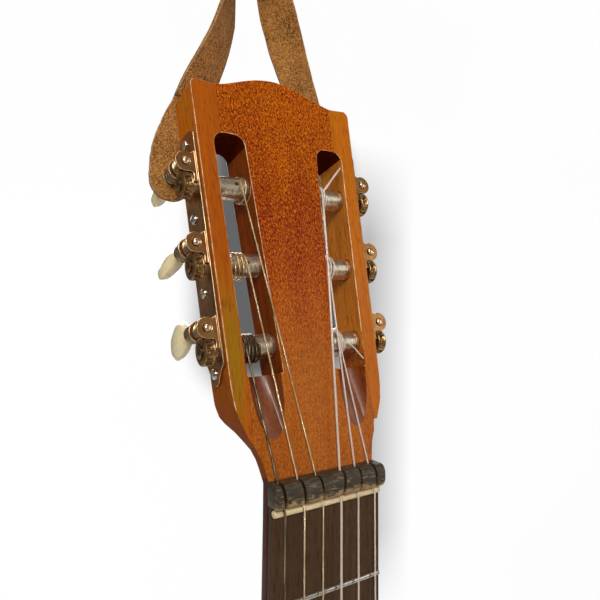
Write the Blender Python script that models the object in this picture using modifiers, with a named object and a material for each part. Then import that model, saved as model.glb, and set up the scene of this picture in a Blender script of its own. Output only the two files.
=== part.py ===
"""Classical guitar with a slotted head, hanging from a leather strap.

Working frame of the guitar, in metres: X to the right seen from the front, Y from the strings to
the back, Z up the neck, with the fretboard's face at Y = 0 and the zero fret at Z = 0. The empty
"guitar" moves all of it so that the world's origin is the point that the strap hangs from.
"""
import math

import bmesh
import bpy
from mathutils import Matrix, Vector

GAP = 0.0003                 # between pieces that touch

# strings and fretboard
SCALE_LENGTH = 0.650
FRET_COUNT = 19
BOARD_THICK = 0.0038
NUT_WIDTH = 0.052
BODY_JOIN_WIDTH = 0.062
BOARD_END = -0.438
STRING_SPREAD_TOP = 0.044
STRING_SPREAD_SADDLE = 0.058
STRING_RADII = {1: 0.00036, 2: 0.00041, 3: 0.00051, 4: 0.00037, 5: 0.00044, 6: 0.00053}
ZERO_ROD_RADIUS = 0.0016
FRET_HEIGHT = 0.0010
NUT_BOTTOM_Z = 0.0023
NUT_TOP_Z = 0.0115
NUT_HEIGHT = 0.0042          # above the fretboard's face
NUT_SLOT_FLOOR = 0.0026      # below it, so that only the zero fret carries the strings

# body
BODY_TOP_Z = -SCALE_LENGTH / 2
BODY_LENGTH = 0.488
BODY_DEPTH = 0.096
PLATE_THICK = 0.0025
SIDE_THICK = 0.0020
BINDING_WIDE = 0.0020
BINDING_TALL = 0.0030
LINING_WIDE = 0.0050
LINING_TALL = 0.0130
SOUNDHOLE_Z = -0.483
SOUNDHOLE_RADIUS = 0.0425
ROUND_STEPS = 28             # sides of the large circles
ROSETTE_INNER = 0.0480
ROSETTE_OUTER = 0.0620
ROSETTE_THICK = 0.0010
OUTLINE_STEPS = 3            # points for each stretch of the body's outline
HARMONIC_BARS = (-0.428, -0.538)
HARMONIC_BAR_TALL = 0.0150
HARMONIC_BAR_TAPER = 0.0080
BACK_BRACES = {"upper": -0.395, "middle": -0.560, "lower": -0.690}
BACK_BRACE_TALL = 0.0140
BACK_BRACE_TAPER = 0.0070
BAR_THICK = 0.0070
BRACE_MARGIN = 0.0020        # between a brace's end and the linings
FAN_COUNT = 7
FAN_SPACING = (0.0150, 0.0330)       # at the harmonic bar and at the tail
FAN_END = -0.7750
FAN_SHIFT = 0.0080           # each fan brace ends this much higher than its inner neighbour
FAN_SIZE = (0.0050, 0.0050)
HOLE_BRACE_SIZE = (0.0060, 0.0060)
NECK_BLOCK = (0.0340, 0.0240)        # half width, and length down the body
TAIL_BLOCK = (0.0300, 0.0140)
BLOCK_MARGIN = 0.0020

# neck
NECK_THICK_NUT = 0.0185      # wood below the fretboard
NECK_THICK_BODY = 0.0210
HEEL_START_Z = -0.252
HEEL_DEPTH = 0.0930
HEEL_CAP_HALF_WIDTH = 0.0125
HEEL_CAP_STRAIGHT = 0.0060

# head
HEAD_ANGLE = math.radians(14.18)
HEAD_START_Z = 0.00975
HEAD_THICK = 0.0195
HEAD_TOP = 0.1700            # at the corners, measured up the face
HEAD_HUMP = 0.0080           # the middle stands this much higher
HUMP_HALF = 0.0310
GLUE_LINE = 0.0300           # from the middle to each wing
WING_START = 0.0180
CORNER_HEIGHT = 0.1680       # where the head's side turns into its top edge
SHOULDER = ((0.0, 0.0254), (0.0110, 0.0273), (0.0200, 0.0310), (0.0270, 0.0343),
            (0.0340, 0.0363), (0.0420, 0.0372))    # height and half width of the head's foot
SIDE_TAPER = math.atan(0.0047 / 0.130)
HALF_WIDTH_FOOT = 0.0377     # half the head's width at FOOT_HEIGHT
FOOT_HEIGHT = 0.0550

# slots
SLOT_FOOT = 0.0450
SLOT_INNER = (0.0139, 0.0190)        # inner wall at SLOT_WALL_HEIGHTS
SLOT_OUTER = (0.0302, 0.0335)
SLOT_WALL_HEIGHTS = (0.0550, 0.1430)
SLOT_TOP = 0.1472
SLOT_CORNER = 0.0052
RAMP_RADIUS = 0.0073
RAMP_START = 0.0180
RAMP_SLOPE = math.atan(0.36)

# tuning machines, in the frame of one side: x outward, y into the head, z up the side
POST_SPACING = 0.0350
MIDDLE_POST_HEIGHT = 0.0891
POST_DEPTH = 0.0070
POST_RADIUS = 0.0050
POST_NECK_RADIUS = 0.0030
POST_TIP_IN_CORE = 0.0060
POST_BORE = 0.0305           # depth of the bore from the head's side
POST_SEAT_RADIUS = 0.0021
BORE_CLEARANCE = 0.0003
LEVELS = {"lower": -POST_SPACING, "middle": 0.0, "upper": POST_SPACING}
PLATE_METAL = 0.0010
PLATE_DEPTHS = (0.0013, 0.0187)
PLATE_LOW = -0.0490
PLATE_HIGH = 0.0588
SCREW_HEIGHTS = (-0.0440, -0.0106, 0.0215, 0.0550)
SCREW_DEPTH = 0.0110
GEAR_TEETH = 14
GEAR_RADIUS = 0.0060
GEAR_ROOT = 0.0049
GEAR_SPAN = (0.0033, 0.0079)
WORM_OFFSET = 0.0088         # worm axis above the post axis
WORM_OUT = 0.0056            # worm axis outward from the head's side
WORM_LEAD = 0.0025
WORM_TURNS = 2.4
WORM_ROOT = 0.0026
WORM_RADIUS = 0.0036
EAR_FRONT = (0.0022, 0.0032)
EAR_REAR = (0.0109, 0.0119)
EAR_RADIUS = 0.0039
EAR_HOLE = 0.0019
SHAFT_RADIUS = 0.0016
COLLAR_SPAN = (0.0122, 0.0194)
BUTTON_START = 0.0221
BUTTON_LENGTH = 0.0165
BUTTON_WIDE = 0.0180
BUTTON_THICK = 0.0070
SHAFT_END = 0.0300
BUTTON_TURNS = {             # how far each button is turned at rest, in degrees
    "left_upper": -30, "left_middle": -50, "left_lower": 12,
    "right_upper": 40, "right_middle": -20, "right_lower": 80,
}

WINDING_TURNS = 4
WINDING_INNER = POST_RADIUS + GAP
WINDING_PLACES = {           # string: its post, the x on the head where it leaves its windings,
    1: ("right", "lower", 0.0180, 1),        # and the direction in x that they lie in from there
    2: ("right", "middle", 0.0179, 1),
    3: ("right", "upper", 0.0200, 1),
    4: ("left", "upper", -0.0222, 1),
    5: ("left", "middle", -0.0236, -1),
    6: ("left", "lower", -0.0284, 1),
}

# hanging strap
STRAP_WIDTH = 0.0190
STRAP_THICK = 0.0018
STRAP_DEPTH = 0.0208         # its middle, from the head's face
STRAP_HOLE = 0.0030
STRAP_HOLE_AT = (0.0469, 0.1328)     # sideways and up the head's face
STRAP_BEND = ((0.0185, 0.0680, 0.2080), (0.0285, 0.0672, 0.1800))
STRAP_ON_HEAD = ((0.0325, 0.1690), (0.0380, 0.1600), (0.0445, 0.1460), STRAP_HOLE_AT,
                 (0.0469, 0.1222))
STRAP_TWIST_START = 0.1720   # up the face; above this the strap turns towards the peg
PEG_WRAP = math.radians(71)
PEG_Y = 0.0680
PEG_Z = 0.2455
PEG_RADIUS = 0.0060

# bridge
BRIDGE_HALF_LENGTH = 0.0950
BRIDGE_Z = (-0.6720, -0.6440)
BRIDGE_BLOCK_HALF = 0.0410
WING_HEIGHT = 0.0035
BLOCK_HEIGHT = 0.0087
SADDLE_TOP = -0.0077
SADDLE_THICK = 0.0025
TIE_HOLE_RADIUS = 0.0011
TIE_HOLE_Y = -0.0016

COLOURS = {                  # base colour, roughness, metallic
    "mahogany": ((0.33, 0.11, 0.035), 0.28, 0.0),
    "cheek_wood": ((0.52, 0.23, 0.07), 0.30, 0.0),
    "rosewood": ((0.085, 0.040, 0.026), 0.45, 0.0),
    "ebony": ((0.045, 0.036, 0.032), 0.40, 0.0),
    "spruce": ((0.66, 0.43, 0.19), 0.30, 0.0),
    "inner_wood": ((0.60, 0.45, 0.27), 0.60, 0.0),
    "rosette_wood": ((0.20, 0.10, 0.05), 0.40, 0.0),
    "bone": ((0.80, 0.73, 0.56), 0.35, 0.0),
    "ivoroid": ((0.80, 0.73, 0.50), 0.25, 0.0),
    "aged_brass": ((0.45, 0.37, 0.28), 0.35, 1.0),
    "bronze": ((0.30, 0.22, 0.14), 0.40, 1.0),
    "post_metal": ((0.50, 0.48, 0.44), 0.35, 1.0),
    "nylon": ((0.80, 0.78, 0.72), 0.20, 0.0),
    "wound_wire": ((0.60, 0.55, 0.48), 0.30, 1.0),
    "suede": ((0.30, 0.18, 0.11), 0.95, 0.0),
}

STAND_UP = Matrix.Rotation(math.radians(90), 4, "X")     # a flat curve's (x, y) becomes (x, z)


# ---------------------------------------------------------------- scene helpers

def clear_scene():
    for obj in list(bpy.data.objects):
        bpy.data.objects.remove(obj, do_unlink=True)


def new_collection(name):
    collection = bpy.data.collections.new(name)
    bpy.context.scene.collection.children.link(collection)
    return collection


def get_material(name):
    existing = bpy.data.materials.get(name)
    if existing:
        return existing
    colour, roughness, metallic = COLOURS[name]
    material = bpy.data.materials.new(name)
    material.use_nodes = True
    shader = material.node_tree.nodes["Principled BSDF"]
    shader.inputs["Base Color"].default_value = (*colour, 1.0)
    shader.inputs["Roughness"].default_value = roughness
    shader.inputs["Metallic"].default_value = metallic
    return material


def place(obj, parent=None, matrix=None):
    """Hang an object on its parent, with a local transform."""
    if parent:
        obj.parent = parent
    if matrix is not None:
        obj.matrix_local = matrix
    return obj


def add_empty(name, parent=None, matrix=None):
    empty = bpy.data.objects.new(name, None)
    empty.empty_display_size = 0.01
    PARTS.objects.link(empty)
    return place(empty, parent, matrix)


def add_mesh(name, mesh, material, parent=None, matrix=None, smooth_angle=35):
    mesh.name = name
    obj = bpy.data.objects.new(name, mesh)
    PARTS.objects.link(obj)
    mesh.materials.clear()
    mesh.materials.append(get_material(material))
    mesh.shade_smooth()
    mesh.set_sharp_from_angle(angle=math.radians(smooth_angle))
    return place(obj, parent, matrix)


def add_cutter(name, mesh, parent=None, matrix=None):
    obj = bpy.data.objects.new(name, mesh)
    CUTTERS.objects.link(obj)
    obj.hide_render = True
    obj.display_type = "WIRE"
    return place(obj, parent, matrix)


def boolean(target, cutter, operation="DIFFERENCE"):
    modifier = target.modifiers.new(cutter.name, "BOOLEAN")
    modifier.operation = operation
    modifier.solver = "EXACT"
    modifier.object = cutter


def mesh_from_bmesh(bm):
    bmesh.ops.recalc_face_normals(bm, faces=bm.faces)
    mesh = bpy.data.meshes.new("shape")
    bm.to_mesh(mesh)
    bm.free()
    return mesh


def evaluated_mesh(obj):
    """The mesh that an object's curve or modifiers make, welded. The object is removed."""
    depsgraph = bpy.context.evaluated_depsgraph_get()
    mesh = bpy.data.meshes.new_from_object(obj.evaluated_get(depsgraph))
    bpy.data.objects.remove(obj, do_unlink=True)
    bm = bmesh.new()
    bm.from_mesh(mesh)
    bpy.data.meshes.remove(mesh)
    bmesh.ops.remove_doubles(bm, verts=bm.verts, dist=0.00001)
    return mesh_from_bmesh(bm)


def mesh_from_curve(curve):
    obj = bpy.data.objects.new("curve", curve)
    bpy.context.scene.collection.objects.link(obj)
    return evaluated_mesh(obj)


# ---------------------------------------------------------------- shape helpers

SWAP_X_Y = Matrix(((0, 1, 0, 0), (1, 0, 0, 0), (0, 0, 1, 0), (0, 0, 0, 1)))
SWAP_Y_Z = Matrix(((1, 0, 0, 0), (0, 0, 1, 0), (0, 1, 0, 0), (0, 0, 0, 1)))
ALONG_X = Matrix(((0, 1, 0, 0), (0, 0, 1, 0), (1, 0, 0, 0), (0, 0, 0, 1)))


def moved(mesh, matrix):
    """Transform a mesh, and keep its faces pointing out if the matrix mirrors it."""
    mesh.transform(matrix)
    if matrix.determinant() < 0:
        mesh.flip_normals()
    return mesh


def flat_shape(loops, low, high):
    """Fill closed loops of (x, z) points and extrude them from y = low to y = high."""
    curve = bpy.data.curves.new("outline", "CURVE")
    curve.dimensions = "2D"
    curve.fill_mode = "BOTH"
    curve.extrude = (high - low) / 2
    for loop in loops:
        spline = curve.splines.new("POLY")
        spline.points.add(len(loop) - 1)
        for point, (x, z) in zip(spline.points, loop):
            point.co = (x, z, 0, 1)
        spline.use_cyclic_u = True
    mesh = mesh_from_curve(curve)
    mesh.transform(Matrix.Translation((0, (low + high) / 2, 0)) @ STAND_UP)
    return mesh


def cylinder_between(start, end, radius, sides=16):
    start = Vector(start)
    axis = Vector(end) - start
    turn = Vector((0, 0, 1)).rotation_difference(axis).to_matrix().to_4x4()
    bm = bmesh.new()
    bmesh.ops.create_cone(bm, cap_ends=True, segments=sides, radius1=radius, radius2=radius,
                          depth=axis.length, matrix=Matrix.Translation(start + axis / 2) @ turn)
    return mesh_from_bmesh(bm)


def box_between(low, high):
    low = Vector(low)
    high = Vector(high)
    size = Matrix.Diagonal((*(high - low), 1))
    bm = bmesh.new()
    bmesh.ops.create_cube(bm, size=1, matrix=Matrix.Translation((low + high) / 2) @ size)
    return mesh_from_bmesh(bm)


def turned_shape(profile, sides):
    """A profile of (radius, height) points, from top to bottom, turned about +Z and closed."""
    points = [(0.0, profile[0][1]), *profile, (0.0, profile[-1][1])]
    mesh = bpy.data.meshes.new("profile")
    edges = [(i, i + 1) for i in range(len(points) - 1)]
    mesh.from_pydata([(radius, 0.0, height) for radius, height in points], edges, [])
    obj = bpy.data.objects.new("profile", mesh)
    bpy.context.scene.collection.objects.link(obj)
    turn = obj.modifiers.new("turn", "SCREW")
    turn.steps = sides
    turn.render_steps = sides
    turn.use_merge_vertices = True
    turn.merge_threshold = 0.00001
    return evaluated_mesh(obj)


def skin(bm, rings):
    """Faces between successive closed rings of vertices, and over the first and last ring."""
    for ring, following in zip(rings, rings[1:]):
        count = len(ring)
        for i in range(count):
            j = (i + 1) % count
            bm.faces.new((ring[i], ring[j], following[j], following[i]))
    bm.faces.new(rings[0])
    bm.faces.new(reversed(rings[-1]))


def circle(x, z, radius, sides=16):
    return [(x + radius * math.cos(2 * math.pi * i / sides),
             z + radius * math.sin(2 * math.pi * i / sides)) for i in range(sides)]


def arc(x, z, radius, start, end, steps):
    """Points of a circle from one angle to another, in degrees."""
    angles = [math.radians(start + (end - start) * i / steps) for i in range(steps + 1)]
    return [(x + radius * math.cos(a), z + radius * math.sin(a)) for a in angles]


def join_meshes(meshes):
    bm = bmesh.new()
    for mesh in meshes:
        bm.from_mesh(mesh)
        bpy.data.meshes.remove(mesh)
    return mesh_from_bmesh(bm)


def mix(low, high, share):
    return low + (high - low) * share


def smooth_step(share):
    share = min(max(share, 0.0), 1.0)
    return share * share * (3 - 2 * share)


def catmull(points, steps):
    """A smooth curve through points of any dimension, with the ends repeated."""
    padded = [points[0], *points, points[-1]]
    result = []
    for i in range(1, len(padded) - 2):
        before, start, end, after = padded[i - 1:i + 3]
        for step in range(steps):
            t = step / steps
            result.append(tuple(
                0.5 * (2 * b + (c - a) * t + (2 * a - 5 * b + 4 * c - d) * t * t
                       + (3 * b - a - 3 * c + d) * t ** 3)
                for a, b, c, d in zip(before, start, end, after)))
    result.append(tuple(points[-1]))
    return result


def tube(points, radius, resolution=2):
    curve = bpy.data.curves.new("wire", "CURVE")
    curve.dimensions = "3D"
    curve.bevel_depth = radius
    curve.bevel_resolution = resolution
    curve.use_fill_caps = True
    spline = curve.splines.new("POLY")
    spline.points.add(len(points) - 1)
    for point, place_at in zip(spline.points, points):
        point.co = (*place_at, 1)
    return mesh_from_curve(curve)


# ---------------------------------------------------------------- body outline

def half_outline():
    """Right half of the body's outline from the heel to the tail, as (x, z) points."""
    top = BODY_TOP_Z
    knots = [
        (0.0360, top), (0.0780, top - 0.0110), (0.1150, top - 0.0400), (0.1385, top - 0.0880),
        (0.1340, top - 0.1400), (0.1175, top - 0.1860), (0.1290, top - 0.2330),
        (0.1660, top - 0.2920), (0.1820, top - 0.3560), (0.1740, top - 0.4130),
        (0.1330, top - 0.4600), (0.0700, top - 0.4830), (0.0, top - BODY_LENGTH),
    ]
    mirrored_end = (-knots[-2][0], knots[-2][1])
    smooth = catmull([*knots, mirrored_end], OUTLINE_STEPS)
    return smooth[:len(smooth) - OUTLINE_STEPS]


def inset_outline(points, distance):
    """Move an open run of outline points inward by a distance."""
    inset = []
    for i, (x, z) in enumerate(points):
        before = points[max(i - 1, 0)]
        after = points[min(i + 1, len(points) - 1)]
        along = Vector((after[0] - before[0], after[1] - before[1])).normalized()
        if i == 0:
            along = Vector((1, 0))
        if i == len(points) - 1:
            along = Vector((-1, 0))
        inset.append((x + along.y * distance, z - along.x * distance))
    return inset


def full_outline(distance=0.0):
    """The whole closed outline, moved inward by a distance."""
    right = inset_outline(half_outline(), distance)
    left = [(-x, z) for x, z in reversed(right[:-1])]
    return right + left


def inner_half_width(z, distance):
    """Half of the body's width at one height, inside an inset outline."""
    run = inset_outline(half_outline(), distance)
    for (x0, z0), (x1, z1) in zip(run, run[1:]):
        if z1 <= z <= z0 and z0 > z1:
            return mix(x0, x1, (z0 - z) / (z0 - z1))
    return 0.0


TOP_Y = BOARD_THICK
BACK_Y = BOARD_THICK + BODY_DEPTH
PLATE_INSET = BINDING_WIDE + GAP
LINING_INSET = SIDE_THICK + GAP
INSIDE_TOP = TOP_Y + PLATE_THICK + GAP
INSIDE_BACK = BACK_Y - PLATE_THICK - GAP


def build_plates(guitar):
    outline = full_outline(PLATE_INSET)
    hole = circle(0, SOUNDHOLE_Z, SOUNDHOLE_RADIUS, ROUND_STEPS)
    soundboard = add_mesh("soundboard", flat_shape([outline, hole], TOP_Y, TOP_Y + PLATE_THICK),
                          "spruce", guitar)
    channel = flat_shape([circle(0, SOUNDHOLE_Z, ROSETTE_OUTER + GAP, ROUND_STEPS),
                          circle(0, SOUNDHOLE_Z, ROSETTE_INNER - GAP, ROUND_STEPS)],
                         TOP_Y - 0.001, TOP_Y + ROSETTE_THICK + GAP)
    boolean(soundboard, add_cutter("rosette_channel", channel, guitar))
    rosette = flat_shape([circle(0, SOUNDHOLE_Z, ROSETTE_OUTER, ROUND_STEPS),
                          circle(0, SOUNDHOLE_Z, ROSETTE_INNER, ROUND_STEPS)],
                         TOP_Y, TOP_Y + ROSETTE_THICK)
    add_mesh("rosette", rosette, "rosette_wood", guitar)
    add_mesh("back_plate", flat_shape([outline], BACK_Y - PLATE_THICK, BACK_Y), "rosewood", guitar)


def build_bindings(guitar):
    loops = [full_outline(), full_outline(BINDING_WIDE)]
    add_mesh("top_binding", flat_shape(loops, TOP_Y, TOP_Y + BINDING_TALL), "rosewood", guitar)
    add_mesh("back_binding", flat_shape(loops, BACK_Y - BINDING_TALL, BACK_Y), "rosewood", guitar)


def rib_points():
    """The side's own run, from beside the heel's middle to the tail's middle."""
    run = half_outline()
    return [(GAP / 2, run[0][1]), *run[:-1], (GAP / 2, run[-1][1])]


def build_sides(guitar):
    run = rib_points()
    inner = inset_outline(run, SIDE_THICK)
    loop = run + list(reversed(inner))
    low = TOP_Y + BINDING_TALL + GAP
    high = BACK_Y - BINDING_TALL - GAP
    for name, sign in (("side_right", 1), ("side_left", -1)):
        mirrored = [(sign * x, z) for x, z in loop]
        add_mesh(name, flat_shape([mirrored], low, high), "rosewood", guitar)


def lining_loop(sign):
    """One lining strip, between the neck block and the tail block."""
    run = half_outline()
    kept = [(x, z) for x, z in run if x > 0.046]
    outer = inset_outline(kept, LINING_INSET)
    inner = inset_outline(kept, LINING_INSET + LINING_WIDE)
    outer[0] = (outer[0][0], inset_outline(run, LINING_INSET)[1][1])
    return [(sign * x, z) for x, z in outer + list(reversed(inner))]


def build_linings(guitar):
    for name, low, high in (
            ("top_lining_", INSIDE_TOP, INSIDE_TOP + LINING_TALL),
            ("back_lining_", INSIDE_BACK - LINING_TALL, INSIDE_BACK)):
        for side, sign in (("right", 1), ("left", -1)):
            add_mesh(name + side, flat_shape([lining_loop(sign)], low, high), "inner_wood", guitar)


def build_blocks(guitar):
    top = BODY_TOP_Z - SIDE_THICK - GAP
    tail = BODY_TOP_Z - BODY_LENGTH + SIDE_THICK + GAP + BLOCK_MARGIN
    half, length = NECK_BLOCK
    add_mesh("neck_block", box_between((-half, INSIDE_TOP, top - length),
                                       (half, INSIDE_BACK, top)), "mahogany", guitar)
    half, length = TAIL_BLOCK
    add_mesh("tail_block", box_between((-half, INSIDE_TOP, tail),
                                       (half, INSIDE_BACK, tail + length)), "mahogany", guitar)


def bar(z, half_length, thick, low, high, lift):
    """A cross bar whose ends are cut away by lift on the side that faces the hollow."""
    cut = min(0.030, half_length / 3)
    if lift > 0:
        loop = [(-half_length, low), (half_length, low), (half_length, high - lift),
                (half_length - cut, high), (-half_length + cut, high), (-half_length, high - lift)]
    else:
        loop = [(-half_length, high), (-half_length, low - lift), (-half_length + cut, low),
                (half_length - cut, low), (half_length, low - lift), (half_length, high)]
    return moved(flat_shape([loop], -thick / 2, thick / 2),
                 Matrix.Translation((0, 0, z)) @ SWAP_Y_Z)


def build_braces(guitar):
    clear = LINING_INSET + LINING_WIDE + BRACE_MARGIN
    for name, z in BACK_BRACES.items():
        mesh = bar(z, inner_half_width(z, clear), BAR_THICK, INSIDE_BACK - BACK_BRACE_TALL,
                   INSIDE_BACK, -BACK_BRACE_TAPER)
        add_mesh("back_brace_" + name, mesh, "inner_wood", guitar)
    upper, lower = HARMONIC_BARS
    bars = [bar(z, inner_half_width(z, clear), BAR_THICK, INSIDE_TOP,
                INSIDE_TOP + HARMONIC_BAR_TALL, HARMONIC_BAR_TAPER) for z in HARMONIC_BARS]
    bracing = add_mesh("soundboard_bracing", bars[1], "inner_wood", guitar)
    boolean(bracing, add_cutter("upper_harmonic_bar", bars[0], guitar), "UNION")
    beside = SOUNDHOLE_RADIUS + 0.010
    wide, tall = HOLE_BRACE_SIZE
    links = [box_between((sign * beside - wide / 2, INSIDE_TOP, lower),
                         (sign * beside + wide / 2, INSIDE_TOP + tall, upper))
             for sign in (-1, 1)]
    boolean(bracing, add_cutter("soundhole_braces", join_meshes(links), guitar), "UNION")
    fans = []
    wide, tall = FAN_SIZE
    for i in range(-(FAN_COUNT // 2), FAN_COUNT // 2 + 1):
        head = Vector((i * FAN_SPACING[0], 0, lower))
        foot = Vector((i * FAN_SPACING[1], 0, FAN_END + FAN_SHIFT * abs(i)))
        length = (foot - head).length
        strut = box_between((-wide / 2, INSIDE_TOP, -length), (wide / 2, INSIDE_TOP + tall, 0))
        lean = math.atan2(foot.x - head.x, head.z - foot.z)
        strut.transform(Matrix.Translation(head) @ Matrix.Rotation(-lean, 4, "Y"))
        fans.append(strut)
    boolean(bracing, add_cutter("fan_braces", join_meshes(fans), guitar), "UNION")


# ---------------------------------------------------------------- neck and head

def board_half_width(z):
    return (NUT_WIDTH + (BODY_JOIN_WIDTH - NUT_WIDTH) * z / BODY_TOP_Z) / 2


def neck_section(z, half, depth, heel):
    """A ring of points at one height: flat on top, round behind, or tapering where heel is 1."""
    exponent = 2.1 + 3.0 * heel
    ring = [(half, TOP_Y, z)]
    steps = 9
    for i in range(1, 2 * steps):
        angle = math.pi * i / (2 * steps)
        share = math.sin(angle)
        across = (1 - share ** exponent) ** (1 / exponent)
        narrowing = 1 - 0.58 * heel * share ** 0.8
        side = 1 if angle < math.pi / 2 else -1
        ring.append((side * half * across * narrowing, TOP_Y + depth * share, z))
    ring.append((-half, TOP_Y, z))
    return ring


def head_half_width(v):
    """Half of the head's width at a distance up its face."""
    run = [*SHOULDER, (FOOT_HEIGHT, HALF_WIDTH_FOOT)]
    for (v0, w0), (v1, w1) in zip(run, run[1:]):
        if v0 <= v <= v1:
            return mix(w0, w1, (v - v0) / (v1 - v0))
    return HALF_WIDTH_FOOT + (v - FOOT_HEIGHT) * math.tan(SIDE_TAPER)


def head_top(x):
    """Height of the head's wavy top edge at a distance from the middle."""
    x = abs(x)
    if x >= HUMP_HALF:
        return HEAD_TOP + 0.08 * (x - HUMP_HALF)
    return HEAD_TOP + HEAD_HUMP * ((1 + math.cos(math.pi * x / HUMP_HALF)) / 2) ** 0.7


def wing_loop(sign):
    """Outline of one wing, outside the glue line."""
    inner = GLUE_LINE + GAP / 2
    heights = [v for v, width in SHOULDER if width > inner + 0.002] + [FOOT_HEIGHT, CORNER_HEIGHT]
    outer = [(inner, WING_START + 0.0005)] + [(head_half_width(v), v) for v in heights]
    corner = head_half_width(CORNER_HEIGHT)
    outer += [(corner - 0.0006, CORNER_HEIGHT + 0.0018), (corner - 0.0022, head_top(0.0395))]
    top = [(x, head_top(x)) for x in (0.0360, 0.0330, inner)]
    return [(sign * x, v) for x, v in outer + top]


def core_loop():
    """Outline of the head's middle, inside the glue lines."""
    inner = GLUE_LINE - GAP / 2
    right = [(head_half_width(v), v) for v in (0.0, 0.0055, 0.0110, 0.0150)]
    right += [(inner, WING_START), (inner, head_top(inner))]
    steps = 12
    top = [(x, head_top(x)) for x in (inner * (1 - 2 * i / steps) for i in range(1, steps))]
    left = [(-x, v) for x, v in reversed(right)]
    return right + top + left


def slot_wall(pair, v):
    low, high = SLOT_WALL_HEIGHTS
    return mix(pair[0], pair[1], (v - low) / (high - low))


def slot_loop(sign):
    """Outline of one through slot, square at the foot and with round corners at the top."""
    start = SLOT_TOP - SLOT_CORNER
    points = [(slot_wall(SLOT_INNER, SLOT_FOOT), SLOT_FOOT),
              (slot_wall(SLOT_OUTER, SLOT_FOOT), SLOT_FOOT)]
    points += arc(slot_wall(SLOT_OUTER, start) - SLOT_CORNER, start, SLOT_CORNER, 0, 90, 4)
    points += arc(slot_wall(SLOT_INNER, start) + SLOT_CORNER, start, SLOT_CORNER, 90, 180, 4)
    return [(sign * x, v) for x, v in points]


def head_envelope():
    """Everything of the head that is left after its foot is carved round into the neck."""
    bm = bmesh.new()
    rings = []
    steps = 8
    for v, exponent in ((-0.004, 2.2), (0.006, 2.5), (0.014, 3.0), (0.022, 4.0), (0.030, 6.5),
                        (0.038, 14.0), (0.200, 40.0)):
        half = head_half_width(max(v, 0)) + 0.0010
        depth = HEAD_THICK + 0.0002
        ring = [(half, -0.001, v)]
        for i in range(2 * steps + 1):
            angle = math.pi * i / (2 * steps)
            share = math.sin(angle) ** (2 / exponent)
            across = abs(math.cos(angle)) ** (2 / exponent)
            side = 1 if i <= steps else -1
            ring.append((side * half * across, depth * share, v))
        ring.append((-half, -0.001, v))
        rings.append([bm.verts.new(point) for point in ring])
    skin(bm, rings)
    return mesh_from_bmesh(bm)


def build_neck(guitar, head, carving):
    heights = [BODY_TOP_Z + GAP, -0.315, -0.305, -0.295, -0.284, -0.270, HEEL_START_Z,
               -0.150, -0.030, -0.006, HEAD_START_Z - 0.0001]
    bm = bmesh.new()
    rings = []
    for z in heights:
        along = z / BODY_TOP_Z
        heel = smooth_step((HEEL_START_Z - z) / (HEEL_START_Z - BODY_TOP_Z))
        thick = mix(NECK_THICK_NUT, NECK_THICK_BODY, max(along, 0))
        depth = mix(thick, HEEL_DEPTH, heel ** 1.25)
        ring = neck_section(z, board_half_width(min(z, 0)), depth, heel)
        rings.append([bm.verts.new(point) for point in ring])
    end = [head.matrix_local @ Vector((x * 0.97, (y - TOP_Y) * 0.98 + 0.0002, 0.006))
           for x, y, z in neck_section(0, board_half_width(0), NECK_THICK_NUT, 0)]
    rings.append([bm.verts.new(point) for point in end])
    skin(bm, rings)
    neck = add_mesh("neck", mesh_from_bmesh(bm), "mahogany", guitar)
    core = add_cutter("head_core", flat_shape([core_loop()], 0, HEAD_THICK), head)
    boolean(core, carving, "INTERSECT")
    boolean(neck, core, "UNION")
    half = HEEL_CAP_HALF_WIDTH
    low = BODY_TOP_Z + GAP
    high = BODY_TOP_Z + HEEL_CAP_STRAIGHT
    cap_loop = [(-half, low), (half, low), (half, high), *arc(0, high, half, 30, 150, 6),
                (-half, high)]
    add_mesh("heel_cap", flat_shape([cap_loop], TOP_Y + HEEL_DEPTH + GAP, BACK_Y), "ebony", guitar)
    return neck


def build_wings(head, carving):
    wings = {}
    for name, sign in (("right", 1), ("left", -1)):
        mesh = flat_shape([wing_loop(sign)], 0, HEAD_THICK)
        wings[name] = add_mesh("head_wing_" + name, mesh, "cheek_wood", head)
        boolean(wings[name], carving, "INTERSECT")
    return wings


def cut_slots(neck, wings, head):
    for name, sign in (("right", 1), ("left", -1)):
        through = flat_shape([slot_loop(sign)], -0.002, HEAD_THICK + 0.002)
        start_x = sign * 0.0206
        end_x = sign * 0.0222
        run = SLOT_FOOT + 0.006 - RAMP_START
        ramp = cylinder_between(
            (start_x - (end_x - start_x) * 0.5, -RAMP_RADIUS - 0.5 * run * math.tan(RAMP_SLOPE),
             RAMP_START - 0.5 * run),
            (end_x, -RAMP_RADIUS + run * math.tan(RAMP_SLOPE), RAMP_START + run),
            RAMP_RADIUS, 20)
        for label, mesh in (("slot", through), ("ramp", ramp)):
            cutter = add_cutter(f"{label}_{name}", mesh, head)
            boolean(neck, cutter)
            boolean(wings[name], cutter)


# ---------------------------------------------------------------- fretboard and nut

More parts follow.
